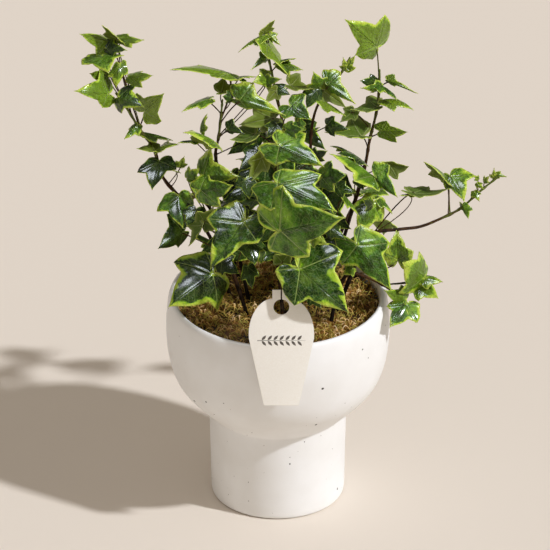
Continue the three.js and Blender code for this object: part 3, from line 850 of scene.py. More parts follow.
# %% Material: dull underside
def leaf_lower():
    material, tree = new_material("dull underside of an ivy leaf")
    read, spot, veins, all_veins = leaf_pattern(tree)
    inner = add(tree, "MapRange", {"Value": read["margin"], "From Min": 0.0, "From Max": 0.12})
    # Mixing towards olive-brown gives the underside its tone, and on "brown" leaves it is painted
    # light shining through from behind.
    flesh = add(tree, "Mix", {"Factor": read["shade"], "A": linear("#526B1E"),
                              "B": linear("#667414")}, data_type="RGBA")
    tone = add(tree, "Mix", {"Factor": inner.outputs["Result"], "A": linear("#88944A"),
                             "B": flesh.outputs["Result"]}, data_type="RGBA")
    pale = add(tree, "Math", {0: all_veins, 1: 0.7}, operation="MULTIPLY")
    colour = add(tree, "Mix", {"Factor": pale.outputs[0], "A": tone.outputs["Result"],
                               "B": linear("#98A266")}, data_type="RGBA")
    bump = add(tree, "Bump", {"Height": veins, "Strength": 0.6, "Distance": 0.0005})
    finish_material(tree, add(tree, "BsdfPrincipled", {
        "Base Color": colour.outputs["Result"], "Roughness": 0.62, "Specular IOR Level": 0.12,
        "Subsurface Weight": 0.12, "Subsurface Radius": (0.6, 1.0, 0.15),
        "Subsurface Scale": 0.001, "Normal": bump.outputs[0]}))
    return material


lower_face = leaf_lower()
print("finish:", lower_face.name)

# %% [markdown]
# Young ivy bark is thin and brown over green, and ridged along the stem. The stem's own age,
# stored on its points, blends the colours, so that one finish serves stems and stalks.

# %% Material: bark
def ivy_bark():
    """age is 1 where the stem is oldest and 0 at the growing tip."""
    material, tree = new_material("brown ivy bark")
    place = add(tree, "TexCoord").outputs["Object"]
    age = add(tree, "Attribute", attribute_name="age").outputs["Fac"]
    patch = add(tree, "TexNoise", {"Vector": place, "Scale": 260.0, "Detail": 4.0})
    spread = add(tree, "Math", {0: patch.outputs["Fac"], 1: 0.5}, operation="SUBTRACT")
    mixed = add(tree, "Math", {0: age, 1: spread.outputs[0]}, operation="ADD")
    tone = add(tree, "ValToRGB", {"Fac": mixed.outputs[0]}, stops=[
        (0.1, linear("#66722F")), (0.45, linear("#4A3018")), (0.8, linear("#1C130C"))])
    stretch = add(tree, "Mapping", {"Vector": place, "Scale": (1400.0, 1400.0, 260.0)})
    ridge = add(tree, "TexNoise", {"Vector": stretch.outputs[0], "Scale": 1.0, "Detail": 3.0})
    bump = add(tree, "Bump", {"Height": ridge.outputs["Fac"], "Strength": 0.5,
                              "Distance": 0.0003})
    finish_material(tree, add(tree, "BsdfPrincipled", {
        "Base Color": tone.outputs["Color"], "Roughness": 0.75, "Specular IOR Level": 0.15,
        "Normal": bump.outputs[0]}))
    return material


bark = ivy_bark()
print("finish:", bark.name)

# %% [markdown]
# Each leaf has its own place, so leaves are a list, vine by vine. Growing them by a rule would
# be shorter, but this plant's own leaves would be lost. The first rows of each vine are the
# CAD leaves. The rest are the smaller ones that the CAD model leaves out. Each row gives the
# blade's heart and tip in mm, where its upper face looks, its breadth, its look, and anything
# special about its pose. Some dark leaves only fill the shaded inside of the crown, and their
# near-black green is painted shade.

# %% Ways to face, hang and sweep
# A number is how far the blade is rolled about its midrib, in degrees, and 0 faces the front.
# Half A lies counter-clockwise of the midrib, seen on the upper face, and half B clockwise.
FRONT, AWAY = 0, 180
NEAR_A, NEAR_B = 65, -65    # half A or half B comes towards the eye
FAR_A, FAR_B = -115, 115    # past edge-on, so that the back shows
EDGE_ON = (0, 1, 3)         # a direction: almost straight up
A_HANGS = {"lean": -0.45, "fold": -0.45}
B_HANGS = {"lean": 0.45, "fold": -0.45}
BACK, AHEAD = -0.4, 0.4     # how far a side lobe sweeps towards the stalk or the tip


def swept(half_a, half_b, more=None):
    return {"sweep": (half_a, half_b), **(more or {})}


# How wide the gold margin is, in leaf lengths, how olive the middle is, and the outline. A
# shade below 0 is darker than green, as painted shade.
LOOKS = {
    "dark": (0.022, -0.34, "long"),
    "deep": (0.042, -0.32, "long"),
    "hero": (0.040, 0.08, "long"),
    "gold": (0.066, 0.30, "long"),
    "lime": (0.110, 0.55, "broad"),
    # The olive of "olive" leaves is painted light shining through them from behind.
    "olive": (0.035, 0.85, "long"),
    "thin": (0.050, 0.60, "arrow"),
    "grey": (0.040, 0.10, "long"),
    # "brown" leaves are olive on top and olive-brown beneath, both painted light shining through
    # them.
    "brown": (0.040, 0.90, "long"),
    "young": (0.130, 0.80, "young"),
}
LEAVES = {}
print("leaf looks:", list(LOOKS))

# %% Leaves of the left vine
LEAVES["left"] = ([
    ((-111, 30, 350), (-94, 24, 352), FRONT, 0.6, "lime", swept(-0.3, 0.3, A_HANGS)),
    ((-124, 24, 339), (-119, 4, 336), FRONT, 1.4, "gold", swept(BACK, BACK)),
    ((-120, 16, 313), (-144, 4, 322), FRONT, (0.7, 1.2), "brown", swept(-0.3, BACK)),
    ((-105, 22, 324), (-88, 12, 330), FRONT, 0.8, "olive", swept(0, AHEAD, A_HANGS)),
    ((-94, 18, 298), (-80, 8, 318), FRONT, 1.0, "olive", swept(BACK, BACK)),
    ((-84, 13, 260), (-89, -4, 246), FRONT, 1.1, "dark", swept(BACK, AHEAD)),
], [
    ((-118, 34, 345), (-140, 26, 356), FRONT, 0.9, "olive", swept(0, BACK, B_HANGS)),
    ((-121, 28, 343), (-106, 20, 346), FRONT, (1.1, 0.7), "deep", swept(BACK, 0)),
    ((-113, 30, 350), (-124, 26, 363), EDGE_ON, 1.0, "lime"),
    ((-120, 30, 318), (-133, 22, 326), FRONT, 0.8, "brown", swept(AHEAD, AHEAD)),
    ((-112, 26, 331), (-114, 16, 318), FRONT, 0.8, "lime", swept(0, AHEAD)),
    ((-112, 14, 311), (-94, 2, 310), FRONT, (1.4, 1.0), "deep", swept(BACK, BACK)),
    ((-100, 20, 285), (-109, 12, 278), FRONT, 0.9, "gold", B_HANGS),
    ((-94, 28, 275), (-74, 20, 273), NEAR_B, (1.3, 0.7), "gold", swept(BACK, AHEAD)),
    ((-87, 20, 264), (-100, 12, 271), FAR_A, 1.1, "brown", swept(BACK, AHEAD)),
    ((-85, 16, 268), (-70, 8, 276), NEAR_B, (1.3, 0.7), "olive", swept(BACK, AHEAD)),
    ((-69, 14, 255), (-66, 10, 266), FRONT, 1.0, "young"),
    ((-71, 16, 250), (-81, 12, 253), EDGE_ON, 1.0, "young"),
])

# %% Leaves of the left inner vine
LEAVES["left_inner"] = ([
    ((-34, 15, 330), (-76, 3, 339), NEAR_A, (0.6, 1.2), "olive", {"fold": -0.1, "droop": 0.3}),
    ((-49, 4, 315), (-68, -8, 312), NEAR_A, (0.6, 1.3), "gold", swept(0.3, BACK)),
    ((-27, -4, 319), (6, -14, 312), FRONT, (0.8, 0.5), "gold", swept(-0.3, -0.3, B_HANGS)),
    ((-45, -9, 289), (-67, -21, 302), NEAR_A, (0.6, 1.3), "lime", swept(0, BACK)),
], [
    ((-28, 14, 328), (-15, 8, 331), EDGE_ON, 1.0, "lime"),
    ((-33, 14, 329), (-40, 10, 333), EDGE_ON, 1.0, "olive"),
    ((-40, 12, 316), (-26, 8, 326), FAR_B, (0.8, 1.3), "brown", swept(AHEAD, BACK)),
    ((-32, 2, 317), (-39, -4, 322), FRONT, 1.0, "dark", swept(0, AHEAD)),
    ((-35, 0, 293), (-23, -8, 294), FRONT, (1.1, 0.6), "dark", swept(BACK, -0.3, B_HANGS)),
    ((-16, 0, 289), (-34, -8, 289), FAR_A, (1.3, 0.8), "grey", swept(0, AHEAD)),
    ((-55, 6, 289), (-50, 2, 305), NEAR_B, (1.3, 0.7), "lime", swept(BACK, AHEAD)),
    ((-58, 8, 280), (-71, 2, 281), EDGE_ON, 1.0, "grey"),
    ((-7, 8, 330), (-18, 0, 331), FRONT, 1.0, "lime", swept(BACK, 0)),
    ((-9, 7, 328), (3, 0, 334), FRONT, 0.7, "gold"),
])

# %% Leaves of the left front vine
LEAVES["left_front"] = ([
    ((-53, -8, 260), (-26, -22, 267), FRONT, (1.2, 0.7), "gold", swept(BACK, AHEAD, B_HANGS)),
    ((-55, -20, 255), (-31, -34, 267), -20, 0.9, "hero", swept(BACK, AHEAD)),
    ((-70, -4, 241), (-67, -20, 224), FRONT, 1.4, "hero", swept(BACK, 0, A_HANGS)),
    ((-67, -6, 213), (-85, -18, 206), FRONT, 1.4, "dark", swept(-0.3, BACK, A_HANGS)),
    ((-24, -44, 243), (-48, -58, 212), FRONT, (0.8, 1.1), "deep", swept(-0.3, 0)),
    ((-46, -34, 195), (-78, -52, 178), FRONT, 1.4, "deep", swept(-0.3, 0)),
], [
    ((-22, -38, 225), (-16, -50, 211), FRONT, 1.4, "dark", swept(AHEAD, BACK)),
    ((-21, -34, 201), (-18, -42, 187), FRONT, 0.8, "dark", swept(0.3, AHEAD)),
    ((-53, -22, 228), (-63, -30, 215), FAR_A, (1.3, 0.8), "grey", swept(0, AHEAD)),
    ((-64, -2, 255), (-55, -6, 265), FRONT, 1.0, "gold"),
    ((-43, -16, 238), (-28, -26, 251), NEAR_B, (1.3, 0.8), "dark", swept(BACK, AHEAD)),
    ((-52, -20, 229), (-43, -26, 244), AWAY, 1.0, "grey"),
    ((-58, -12, 235), (-64, -20, 226), FRONT, 1.3, "dark", swept(-0.3, AHEAD)),
    ((-40, -24, 199), (-27, -34, 195), FRONT, 1.1, "dark"),
    ((-33, -24, 228), (-20, -32, 246), FRONT, 0.9, "dark", swept(0.2, AHEAD)),
])

# %% Leaves of the centre vine, with the dark leaves inside the crown
LEAVES["centre"] = ([
    ((-10, 18, 359), (-28, 8, 351), NEAR_A, (0.6, 1.3), "olive", swept(0.2, BACK)),
    ((9, -2, 313), (24, -12, 307), FRONT, (1.3, 1.0), "hero", swept(-0.2, BACK)),
], [
    ((-10, 20, 360), (-2, 17, 372), EDGE_ON, 1.0, "olive"),
    ((-6, 18, 359), (2, 10, 355), FRONT, 1.1, "young", B_HANGS),
    ((-8, 14, 354), (8, 2, 334), NEAR_B, (1.3, 0.8), "olive", swept(0.2, 0)),
    ((-7, 12, 346), (-19, 2, 340), FRONT, 0.7, "gold", swept(-0.3, -0.2, A_HANGS)),
    ((1, 14, 341), (13, 8, 346), EDGE_ON, 1.0, "grey"),
    ((1, 12, 340), (18, 4, 339), FRONT, 0.7, "olive", swept(0, AHEAD, A_HANGS)),
    ((9, 10, 323), (25, 2, 325), FAR_B, (0.7, 1.3), "brown", swept(0.3, BACK)),
    ((-1, 4, 322), (-9, -2, 316), AWAY, 1.0, "brown"),
    ((-3, 6, 299), (-28, -4, 299), AWAY, 0.7, "brown", swept(AHEAD, 0.2)),
    ((18, -6, 299), (9, -12, 305), FRONT, 0.8, "hero", swept(-0.3, AHEAD)),
    ((-3, 6, 323), (9, 0, 321), FRONT, 0.9, "dark", swept(AHEAD, 0)),
    ((-1, -2, 299), (-7, -10, 292), FRONT, 1.0, "dark", swept(0, AHEAD)),
    ((-8, 6, 262), (-32, -2, 252), FRONT, 1.0, "dark"),
    ((12, 4, 260), (36, -4, 248), FRONT, 1.0, "dark"),
    ((-14, 2, 246), (-40, -6, 238), FRONT, 0.9, "dark"),
    ((16, 0, 240), (42, -8, 226), FRONT, 1.0, "dark"),
    ((-2, 4, 240), (-10, -8, 214), FRONT, 1.0, "dark"),
    ((6, 2, 222), (-18, -8, 204), FRONT, 1.0, "dark"),
    ((14, 0, 214), (38, -10, 200), FRONT, 0.9, "dark"),
    ((0, 10, 276), (10, -2, 250), FRONT, 1.0, "dark"),
    ((-20, 6, 224), (-47, 0, 218), FRONT, 1.0, "dark"),
    ((26, 6, 226), (52, 0, 212), FRONT, 1.0, "dark"),
    ((-12, 0, 204), (-36, -10, 190), FRONT, 1.0, "dark"),
    ((20, -4, 198), (2, -16, 178), FRONT, 0.9, "dark"),
    ((30, 2, 202), (54, -6, 190), FRONT, 1.0, "dark"),
    ((-30, 4, 206), (-56, -4, 194), FRONT, 0.9, "dark"),
    ((-34, 8, 248), (-30, -2, 222), FRONT, 1.0, "dark"),
    ((40, 8, 246), (38, -2, 220), FRONT, 1.0, "dark"),
    ((-14, 10, 284), (-36, 4, 270), FRONT, 0.9, "dark"),
    ((14, 12, 290), (34, 4, 274), FRONT, 0.9, "dark"),
])

# %% Leaves of the front vine
LEAVES["front"] = ([
    ((-14, -10, 281), (-28, -20, 270), FRONT, 0.9, "dark", swept(0.3, 0)),
    ((1, -26, 295), (33, -40, 285), FRONT, (1.0, 0.8), "hero", swept(0, BACK)),
    ((0, -47, 276), (42, -63, 262), FRONT, 0.8, "hero", swept(AHEAD, BACK)),
    ((1, -69, 250), (48, -88, 272), FRONT, (1.1, 0.8), "hero",
     swept(-0.3, 0, {"fold": -0.1, "droop": 0.4, "curl": 0.3, "twist": 0.0})),
    ((15, -70, 220), (50, -82, 191), FRONT, (1.2, 0.9), "deep"),
], [
    ((-11, -22, 283), (-21, -30, 265), AWAY, 0.8, "brown"),
    ((-23, -28, 268), (-20, -36, 257), FRONT, 1.2, "dark", swept(AHEAD, -0.3)),
    ((6, -16, 302), (18, -22, 306), FRONT, 0.9, "hero", swept(0, AHEAD)),
    ((31, -30, 271), (49, -40, 279), FRONT, 1.0, "hero", swept(0.2, 0)),
    ((24, -12, 277), (35, -18, 286), FRONT, 0.8, "dark", swept(0.2, AHEAD)),
    ((42, -26, 261), (55, -32, 260), FRONT, 0.8, "dark", swept(0, 0.3)),
    ((25, -62, 240), (36, -70, 239), FRONT, 1.2, "young", swept(0, -0.3)),
    ((37, -30, 229), (48, -36, 224), FRONT, 1.0, "dark"),
    ((-16, -32, 254), (-27, -38, 254), FRONT, 0.8, "dark", swept(0.2, 0.3)),
    ((-1, -40, 218), (-11, -48, 213), FRONT, 1.0, "dark", swept(0.3, AHEAD)),
    ((3, -44, 210), (10, -50, 224), AWAY, 1.0, "grey"),
    ((24, -40, 180), (31, -48, 175), FRONT, 1.0, "dark"),
])

# %% Leaves of the right vine
LEAVES["right"] = ([
    ((70, 32, 342), (47, 20, 371), FRONT, (0.7, 1.0), "olive", swept(0, 0.2)),
    ((78, 26, 318), (99, 14, 314), FRONT, (0.7, 0.4), "thin", swept(BACK, 0, B_HANGS)),
    ((59, 12, 281), (33, 2, 290), FAR_A, (1.3, 0.7), "grey", swept(BACK, 0.2)),
    ((73, 14, 284), (92, 2, 290), FRONT, 0.7, "olive", swept(BACK, AHEAD)),
    ((68, 2, 253), (36, -14, 281), NEAR_A, (0.7, 1.3), "gold", swept(AHEAD, BACK)),
], [
    ((69, 2, 253), (85, -6, 241), FRONT, (1.2, 0.7), "hero", swept(BACK, 0, B_HANGS)),
    ((68, 30, 314), (58, 26, 318), FRONT, 1.0, "dark"),
    ((72, 22, 313), (58, 12, 320), FRONT, 0.7, "gold", swept(-0.3, 0, A_HANGS)),
    ((72, 22, 317), (84, 12, 310), NEAR_B, (1.3, 0.8), "hero", swept(-0.3, 0)),
    ((75, 22, 305), (96, 12, 302), NEAR_B, (0.6, 0.8), "olive", swept(0, AHEAD)),
    ((70, 22, 299), (51, 14, 301), FAR_A, (1.3, 0.8), "grey", swept(BACK, AHEAD)),
    ((53, 16, 299), (44, 12, 292), AWAY, 1.0, "grey"),
    ((60, 14, 260), (42, 4, 271), NEAR_A, (0.8, 1.3), "dark", swept(AHEAD, BACK)),
    ((78, 8, 260), (93, 0, 263), AWAY, (1.1, 0.6), "brown", swept(AHEAD, 0, B_HANGS)),
    ((48, 14, 269), (37, 10, 274), EDGE_ON, 1.0, "grey"),
    ((55, 0, 252), (67, -8, 252), FRONT, 0.7, "dark", swept(0.2, AHEAD)),
    ((71, -2, 240), (81, -10, 230), NEAR_B, (1.3, 0.8), "gold", swept(0, AHEAD)),
])

# %% Leaves of the right inner vine
LEAVES["right_inner"] = ([
    ((35, 5, 326), (55, -8, 318), FRONT, (1.0, 0.7), "gold", swept(BACK, BACK, B_HANGS)),
    ((35, 3, 295), (51, -7, 297), FRONT, 0.8, "dark", swept(BACK, 0)),
], [
    ((29, 6, 324), (25, 2, 339), FRONT, 1.0, "gold"),
    ((31, 8, 321), (49, 0, 310), AWAY, 0.7, "brown"),
    ((31, 4, 315), (48, -4, 306), NEAR_B, (1.3, 0.8), "olive", swept(0, 0.3)),
    ((27, 6, 323), (20, -2, 311), FRONT, 1.0, "dark", swept(AHEAD, 0.2)),
    ((48, 14, 334), (46, 12, 345), FRONT, 1.0, "young"),
    ((48, 14, 334), (55, 12, 347), FRONT, 1.0, "young"),
    ((47, 12, 335), (51, 10, 335), FRONT, 1.0, "young"),
])

# %% Leaves of the long right shoot
LEAVES["right_long"] = ([
    ((67, -8, 238), (57, -22, 219), FRONT, 0.9, "lime"),
    ((56, -38, 221), (81, -50, 190), FRONT, 0.9, "hero", swept(0, BACK)),
    ((95, -4, 244), (121, -12, 252), FAR_B, (0.5, 0.8), "grey"),
    ((122, 2, 254), (132, -12, 241), FRONT, (1.4, 0.7), "gold"),
], [
    ((120, 4, 252), (103, 0, 267), EDGE_ON, 1.0, "lime"),
    ((95, -4, 243), (86, -8, 244), EDGE_ON, 1.0, "grey"),
    ((131, 6, 228), (135, 0, 220), FRONT, 1.0, "gold", swept(AHEAD, BACK, B_HANGS)),
    ((139, 8, 238), (143, 4, 232), FRONT, 1.3, "young", swept(AHEAD, 0)),
    ((141, 9, 244), (146, 6, 241), FRONT, 1.3, "young", swept(AHEAD, 0)),
    ((142, 10, 247), (138, 8, 252), FRONT, 1.0, "young"),
    ((146, 10, 245), (150, 8, 251), FRONT, 1.1, "young", swept(AHEAD, 0.2)),
    ((153, 10, 248), (153, 9, 257), FRONT, 1.0, "young"),
    ((155, 10, 251), (162, 8, 250), FRONT, 1.0, "young"),
    ((67, -12, 239), (60, -16, 245), FRONT, 1.3, "dark", swept(0, BACK, B_HANGS)),
    ((47, -20, 251), (57, -28, 239), NEAR_B, (1.3, 0.8), "gold", swept(0, AHEAD)),
    ((62, -16, 199), (47, -24, 194), NEAR_A, (0.8, 1.3), "dark", swept(AHEAD, 0)),
])

# %% Leaves of the shoot that spills over the rim
LEAVES["right_spill"] = ([
    ((91, -20, 163), (79, -36, 152), FRONT, (1.2, 0.9), "hero", swept(0, 0.2)),
    ((104, -12, 180), (88, -28, 201), FRONT, (1.1, 0.8), "lime", swept(0, 0.3)),
    ((85, -14, 195), (84, -6, 215), FRONT, 0.9, "lime", {"fold": 0.4}),
], [
    ((90, -18, 165), (75, -24, 176), FRONT, 0.9, "olive"),
    ((92, -18, 161), (98, -26, 150), NEAR_B, (1.3, 0.7), "lime", swept(0, 0.3)),
    ((104, -12, 179), (117, -16, 178), -40, 1.0, "lime"),
    ((101, -11, 172), (114, -17, 165), -30, 1.1, "lime"),
    ((53, -24, 194), (46, -30, 192), FRONT, 1.0, "lime"),
])

# %% Leaves of the back left vine
LEAVES["back_left"] = ([
    ((-48, 68, 206), (-66, 84, 212), (-1, 2, 3), 1.0, "gold"),
    ((-62, 96, 186), (-68, 118, 166), (-1, 3, 2), 1.0, "hero"),
], [
    ((-30, 42, 200), (-50, 58, 208), (-1, 2, 3), 1.1, "dark"),
    ((-42, 44, 174), (-62, 56, 178), (-2, 2, 2), 1.1, "hero"),
    ((-56, 76, 206), (-36, 90, 202), (0, 2, 3), 1.1, "gold"),
    ((-70, 90, 168), (-76, 100, 146), (-2, 3, 1), 1.1, "gold"),
])

# %% Leaves of the back vine
LEAVES["back"] = ([
    ((8, 68, 214), (32, 86, 212), (1, 1, 3), 1.0, "hero"),
    ((-9, 108, 184), (-31, 122, 168), (-1, 3, 2), 1.0, "gold"),
    ((2, 112, 152), (12, 122, 118), (0, 3, 1), 1.0, "hero"),
], [
    ((-6, 60, 206), (-26, 74, 214), (-1, 1, 3), 1.1, "dark"),
    ((-10, 24, 250), (-30, 44, 244), (-1, 3, 3), 1.0, "dark"),
    ((14, 26, 252), (32, 46, 244), (1, 3, 3), 1.0, "hero"),
    ((2, 34, 236), (4, 62, 226), (0, 3, 3), 1.0, "hero"),
    ((-24, 26, 226), (-44, 46, 218), (-1, 3, 3), 1.0, "hero"),
    ((26, 32, 222), (46, 52, 212), (1, 3, 3), 1.0, "dark"),
    ((-6, 44, 214), (-14, 68, 200), (0, 3, 2), 0.9, "dark"),
    ((12, 44, 212), (24, 66, 198), (0, 3, 2), 0.9, "dark"),
    ((-28, 36, 198), (-48, 52, 188), (-1, 3, 2), 1.0, "dark"),
    ((30, 38, 194), (46, 54, 182), (1, 3, 2), 1.0, "hero"),
    ((-2, 30, 192), (-8, 50, 178), (0, 3, 2), 1.0, "dark"),
    ((-8, 20, 276), (-22, 38, 272), (-1, 3, 3), 0.9, "dark"),
    ((16, 22, 278), (30, 40, 272), (1, 3, 3), 0.9, "dark"),
    ((10, 96, 200), (30, 112, 190), (1, 3, 2), 1.1, "lime"),
    ((-14, 106, 158), (-24, 114, 138), (-1, 3, 1), 1.1, "dark"),
])

# %% Leaves of the back right vine
LEAVES["back_right"] = ([
    ((64, 78, 198), (78, 98, 190), (1, 2, 3), 1.0, "gold"),
], [
    ((34, 44, 196), (50, 58, 206), (1, 2, 3), 1.1, "dark"),
    ((50, 46, 176), (68, 56, 180), (2, 2, 2), 1.1, "hero"),
    ((54, 78, 200), (38, 92, 194), (0, 3, 2), 1.1, "hero"),
    ((74, 96, 166), (76, 110, 144), (1, 3, 1), 1.1, "gold"),
])
print("leaves:", sum(len(cad) + len(small) for cad, small in LEAVES.values()))

# %% [markdown]
# A real blade folds up from its midrib, arches along it, lets its side lobes droop and its
# margin ripple, and sinks along every main vein. All of that is a height above the flat
# blade, so it is worked out point by point, with the amounts drawn anew for each leaf. Then
# the blade is thickened to 0.4 mm, and its stalk is joined on.

# %% Bending a leaf
# Sizes here are in leaf lengths.
RIPPLE_DEPTH = 0.07              # how far in from the margin the ripple reaches
GROOVE, GROOVE_WIDTH = 0.007, 0.03
PUFF, PUFFS_PER_LENGTH, PUFF_REACH = 0.008, 38, 0.2   # the blade between the veins
MIDRIB_ROUND = 0.04              # the fold's radius at the midrib
POSE_RANGES = {          # radians, except ripple, which is in leaf lengths
    "fold": (-0.40, 0.05),   # each half slopes down from the midrib, like a roof
    "droop": (0.2, 1.2),     # its side lobe bends down further
    "curl": (0.1, 0.9),      # the blade arches from stalk to tip
    "twist": (-0.35, 0.35),  # and turns about its midrib
    "ripple": (0.008, 0.020),
}


def draw_pose(given, dice):
    pose = {name: dice.uniform(*limits) for name, limits in POSE_RANGES.items()}
    pose.update(waves=dice.choice((7, 8, 9, 10)), phase=dice.uniform(0, math.tau),
                lean=dice.uniform(-0.12, 0.12), sweep=(0, 0))
    pose.update(given)
    return pose


def bend_blade(flat, margin, vein_gap, breadth, pose):
    """Bends flat blade points (n x 2, heart at 0, tip at x = 1) and returns n x 3 points."""
    left = flat[:, 1] > 0
    breadths = breadth if isinstance(breadth, tuple) else (breadth, breadth)
    u = flat[:, 0] + np.where(left, *pose["sweep"]) * np.abs(flat[:, 1])
    w = flat[:, 1] * np.where(left, *breadths)
    angle = np.arctan2(w, u)
    out = np.hypot(u, w)
    near_edge = np.exp(-margin / RIPPLE_DEPTH)
    relief = pose["ripple"] * near_edge * np.clip(out * 2.4, 0, 1) \
        * np.sin(pose["waves"] * angle + pose["phase"])
    relief -= GROOVE * np.exp(-(vein_gap / GROOVE_WIDTH) ** 2) * np.clip(out * 6, 0, 1)
    relief += PUFF * np.sin(vein_gap * PUFFS_PER_LENGTH) * np.exp(-vein_gap / PUFF_REACH)
    half = np.sqrt(w ** 2 + MIDRIB_ROUND ** 2) - MIDRIB_ROUND
    slope = pose["fold"] + pose["lean"] * np.sign(w) - pose["droop"] * half / 2
    y = np.sign(w) * half * np.cos(slope)
    z = half * np.sin(slope) + relief
    turn = pose["twist"] * (u - 0.5)
    y, z = y * np.cos(turn) - z * np.sin(turn), y * np.sin(turn) + z * np.cos(turn)
    curl = max(pose["curl"], 0.001)
    x = np.sin(curl * u) / curl + z * np.sin(curl * u)
    z = (np.cos(curl * u) - 1) / curl + z * np.cos(curl * u)
    tip_x, tip_z = math.sin(curl) / curl, (math.cos(curl) - 1) / curl
    chord = math.hypot(tip_x, tip_z)
    cos, sin = tip_x / chord, tip_z / chord
    return np.column_stack([x * cos + z * sin, y, z * cos - x * sin]) / chord


# %% [markdown]
# A stalk leaves the stem a little below its leaf, bends in one knee, and runs into the midrib
# from beneath. A curve through three points gives that, and it is longer the further the leaf
# hangs from its vine.

# %% Placing a leaf and its stalk
BLADE_THICKNESS = 0.4 * MM
STALK_RADIUS = 0.5 * MM
FULL_STALK_AT = 30 * MM          # shorter leaves have thinner stalks
STALK_DROP = 0.8                 # how far down the vine it starts, per distance to the vine
KNEE_BEHIND, KNEE_BELOW, KNEE_SAG = 0.15, 0.1, 0.12
STALK_STEPS = 9
TO_VIEWER = (0, -0.866, 0.5)


def leaf_frame(heart, tip, facing):
    """facing is a direction, or how far the blade is rolled about its midrib in degrees."""
    origin = Vector(heart) * MM
    along = Vector(tip) * MM - origin
    length = along.length
    along.normalize()
    face = Vector(facing if isinstance(facing, tuple) else TO_VIEWER)
    face = (face - along * face.dot(along)).normalized()
    if not isinstance(facing, tuple):
        face.rotate(Matrix.Rotation(math.radians(facing), 3, along))
    across = face.cross(along)
    turn = Matrix((along, across, face)).transposed().to_4x4()
    return origin, along, face, length, Matrix.Translation(origin) @ turn


def stalk_route(origin, along, face, route):
    """From the vine, a little below the leaf, out and round into the midrib."""
    distances = [(p - origin).length for p in route]
    nearest = distances.index(min(distances))
    down = nearest
    walked = 0
    while down > 0 and walked < STALK_DROP * distances[nearest]:
        walked += (route[down] - route[down - 1]).length
        down -= 1
    foot = route[down]
    reach = (foot - origin).length
    knee = origin - along * KNEE_BEHIND * reach - face * KNEE_BELOW * reach
    knee.z -= KNEE_SAG * reach
    end = origin + along * 1.5 * MM - face * 0.3 * MM
    shares = [t / STALK_STEPS for t in range(STALK_STEPS + 1)]
    return [foot.lerp(knee, t).lerp(knee.lerp(end, t), t) for t in shares], down


def read_floats(mesh, name):
    values = np.zeros(len(mesh.vertices), np.float32)
    mesh.attributes[name].data.foreach_get("value", values)
    return values.astype(float)


def make_leaf(heart, tip, facing, breadth, look, given, route, dice):
    gold, shade, kind = LOOKS[look]
    origin, along, face, length, place = leaf_frame(heart, tip, facing)
    blade = blades[kind].copy()
    blade.data = blades[kind].data.copy()
    bpy.context.scene.collection.objects.link(blade)
    flat = np.zeros(len(blade.data.vertices) * 3, np.float32)
    blade.data.vertices.foreach_get("co", flat)
    bent = length * bend_blade(
        flat.reshape(-1, 3)[:, :2].astype(float), read_floats(blade.data, "margin"),
        read_floats(blade.data, "vein_gap"), breadth, draw_pose(given, dice))
    blade.data.vertices.foreach_set("co", bent.astype(np.float32).ravel())
    blade.data.transform(place)
    count = len(blade.data.vertices)
    set_attribute(blade.data, "gold", [gold * dice.uniform(0.7, 1.35)] * count)
    set_attribute(blade.data, "shade", [min(1, shade * dice.uniform(0.7, 1.3))] * count)
    for material in (upper_face, lower_face):
        blade.data.materials.append(material)
    shell = blade.modifiers.new("thickness", "SOLIDIFY")
    shell.thickness = BLADE_THICKNESS
    shell.offset = -1
    shell.material_offset = 1
    apply_modifiers(blade)
    bpy.ops.object.shade_smooth()
    curve, node = stalk_route(origin, along, face, route)
    slim = 0.6 + 0.4 * min(1, length / FULL_STALK_AT)
    radii = [STALK_RADIUS * slim * (1.25 if i == 0 else 1.0 if i < STALK_STEPS - 1 else 0.85)
             for i in range(len(curve))]
    stalk = tube("stalk", curve, radii, sides=8)
    set_attribute(stalk.data, "age", [dice.uniform(0.15, 0.75)] * len(stalk.data.vertices))
    stalk.data.materials.append(bark)
    select_only(blade, stalk)
    bpy.ops.object.join()
    return bpy.context.object, node


# %% [markdown]
# All leaves are made in one run, from one seeded set of dice, so each has its own small
# differences, and they are the same each time. The flat blades are thrown away at the end.

# %% Make every leaf
leaf_dice = random.Random(29)
leaf_nodes = {name: [] for name in VINES}
for vine, (cad_leaves, small_leaves) in LEAVES.items():
    for i, row in enumerate(cad_leaves + small_leaves):
        row = row if len(row) == 6 else (*row, {})
        leaf, node = make_leaf(*row, routes[vine], leaf_dice)
        leaf_nodes[vine].append(node)
        if i < len(cad_leaves):
            register(leaf, f"ivy_leaf_{vine}_{i + 1}", [f"leaf_{vine}_{i + 1}"])
        else:
            register(leaf, f"ivy_leaf_{vine}_small_{i + 1 - len(cad_leaves)}")
select_only(*blades.values())
bpy.ops.object.delete()
print("made", sum(map(len, leaf_nodes.values())), "leaves")

# %% [markdown]
# The vines come after the leaves, because a stem thickens where each stalk leaves it.

# %% Vines
VINE_RADIUS, NODE_SWELL = 1.5, 0.35   # mm
NODE_LENGTH = 1.1                     # route steps
TAPER, TIP_TAPER = 0.6, 0.6
for name, route in routes.items():
    count = len(route)
    radii = []
    for i in range(count):
        share = i / (count - 1)
        swell = max((math.exp(-((i - n) / NODE_LENGTH) ** 2) for n in leaf_nodes[name]),
                    default=0)
        radii.append((VINE_RADIUS * (1 - TAPER * share) + NODE_SWELL * swell) * MM)
    radii[-1] *= TIP_TAPER
    vine = tube(f"vine_{name}", route, radii, sides=12)
    where = np.array([v.co for v in vine.data.vertices])
    steps = np.array(route)
    nearest = np.linalg.norm(where[:, None] - steps[None], axis=2).argmin(1)
    set_attribute(vine.data, "age", 1 - nearest / (count - 1))
    vine.data.materials.append(bark)
    register(vine, f"ivy_{name}", [f"vine_{name}"])
print("vines made:", len(routes))

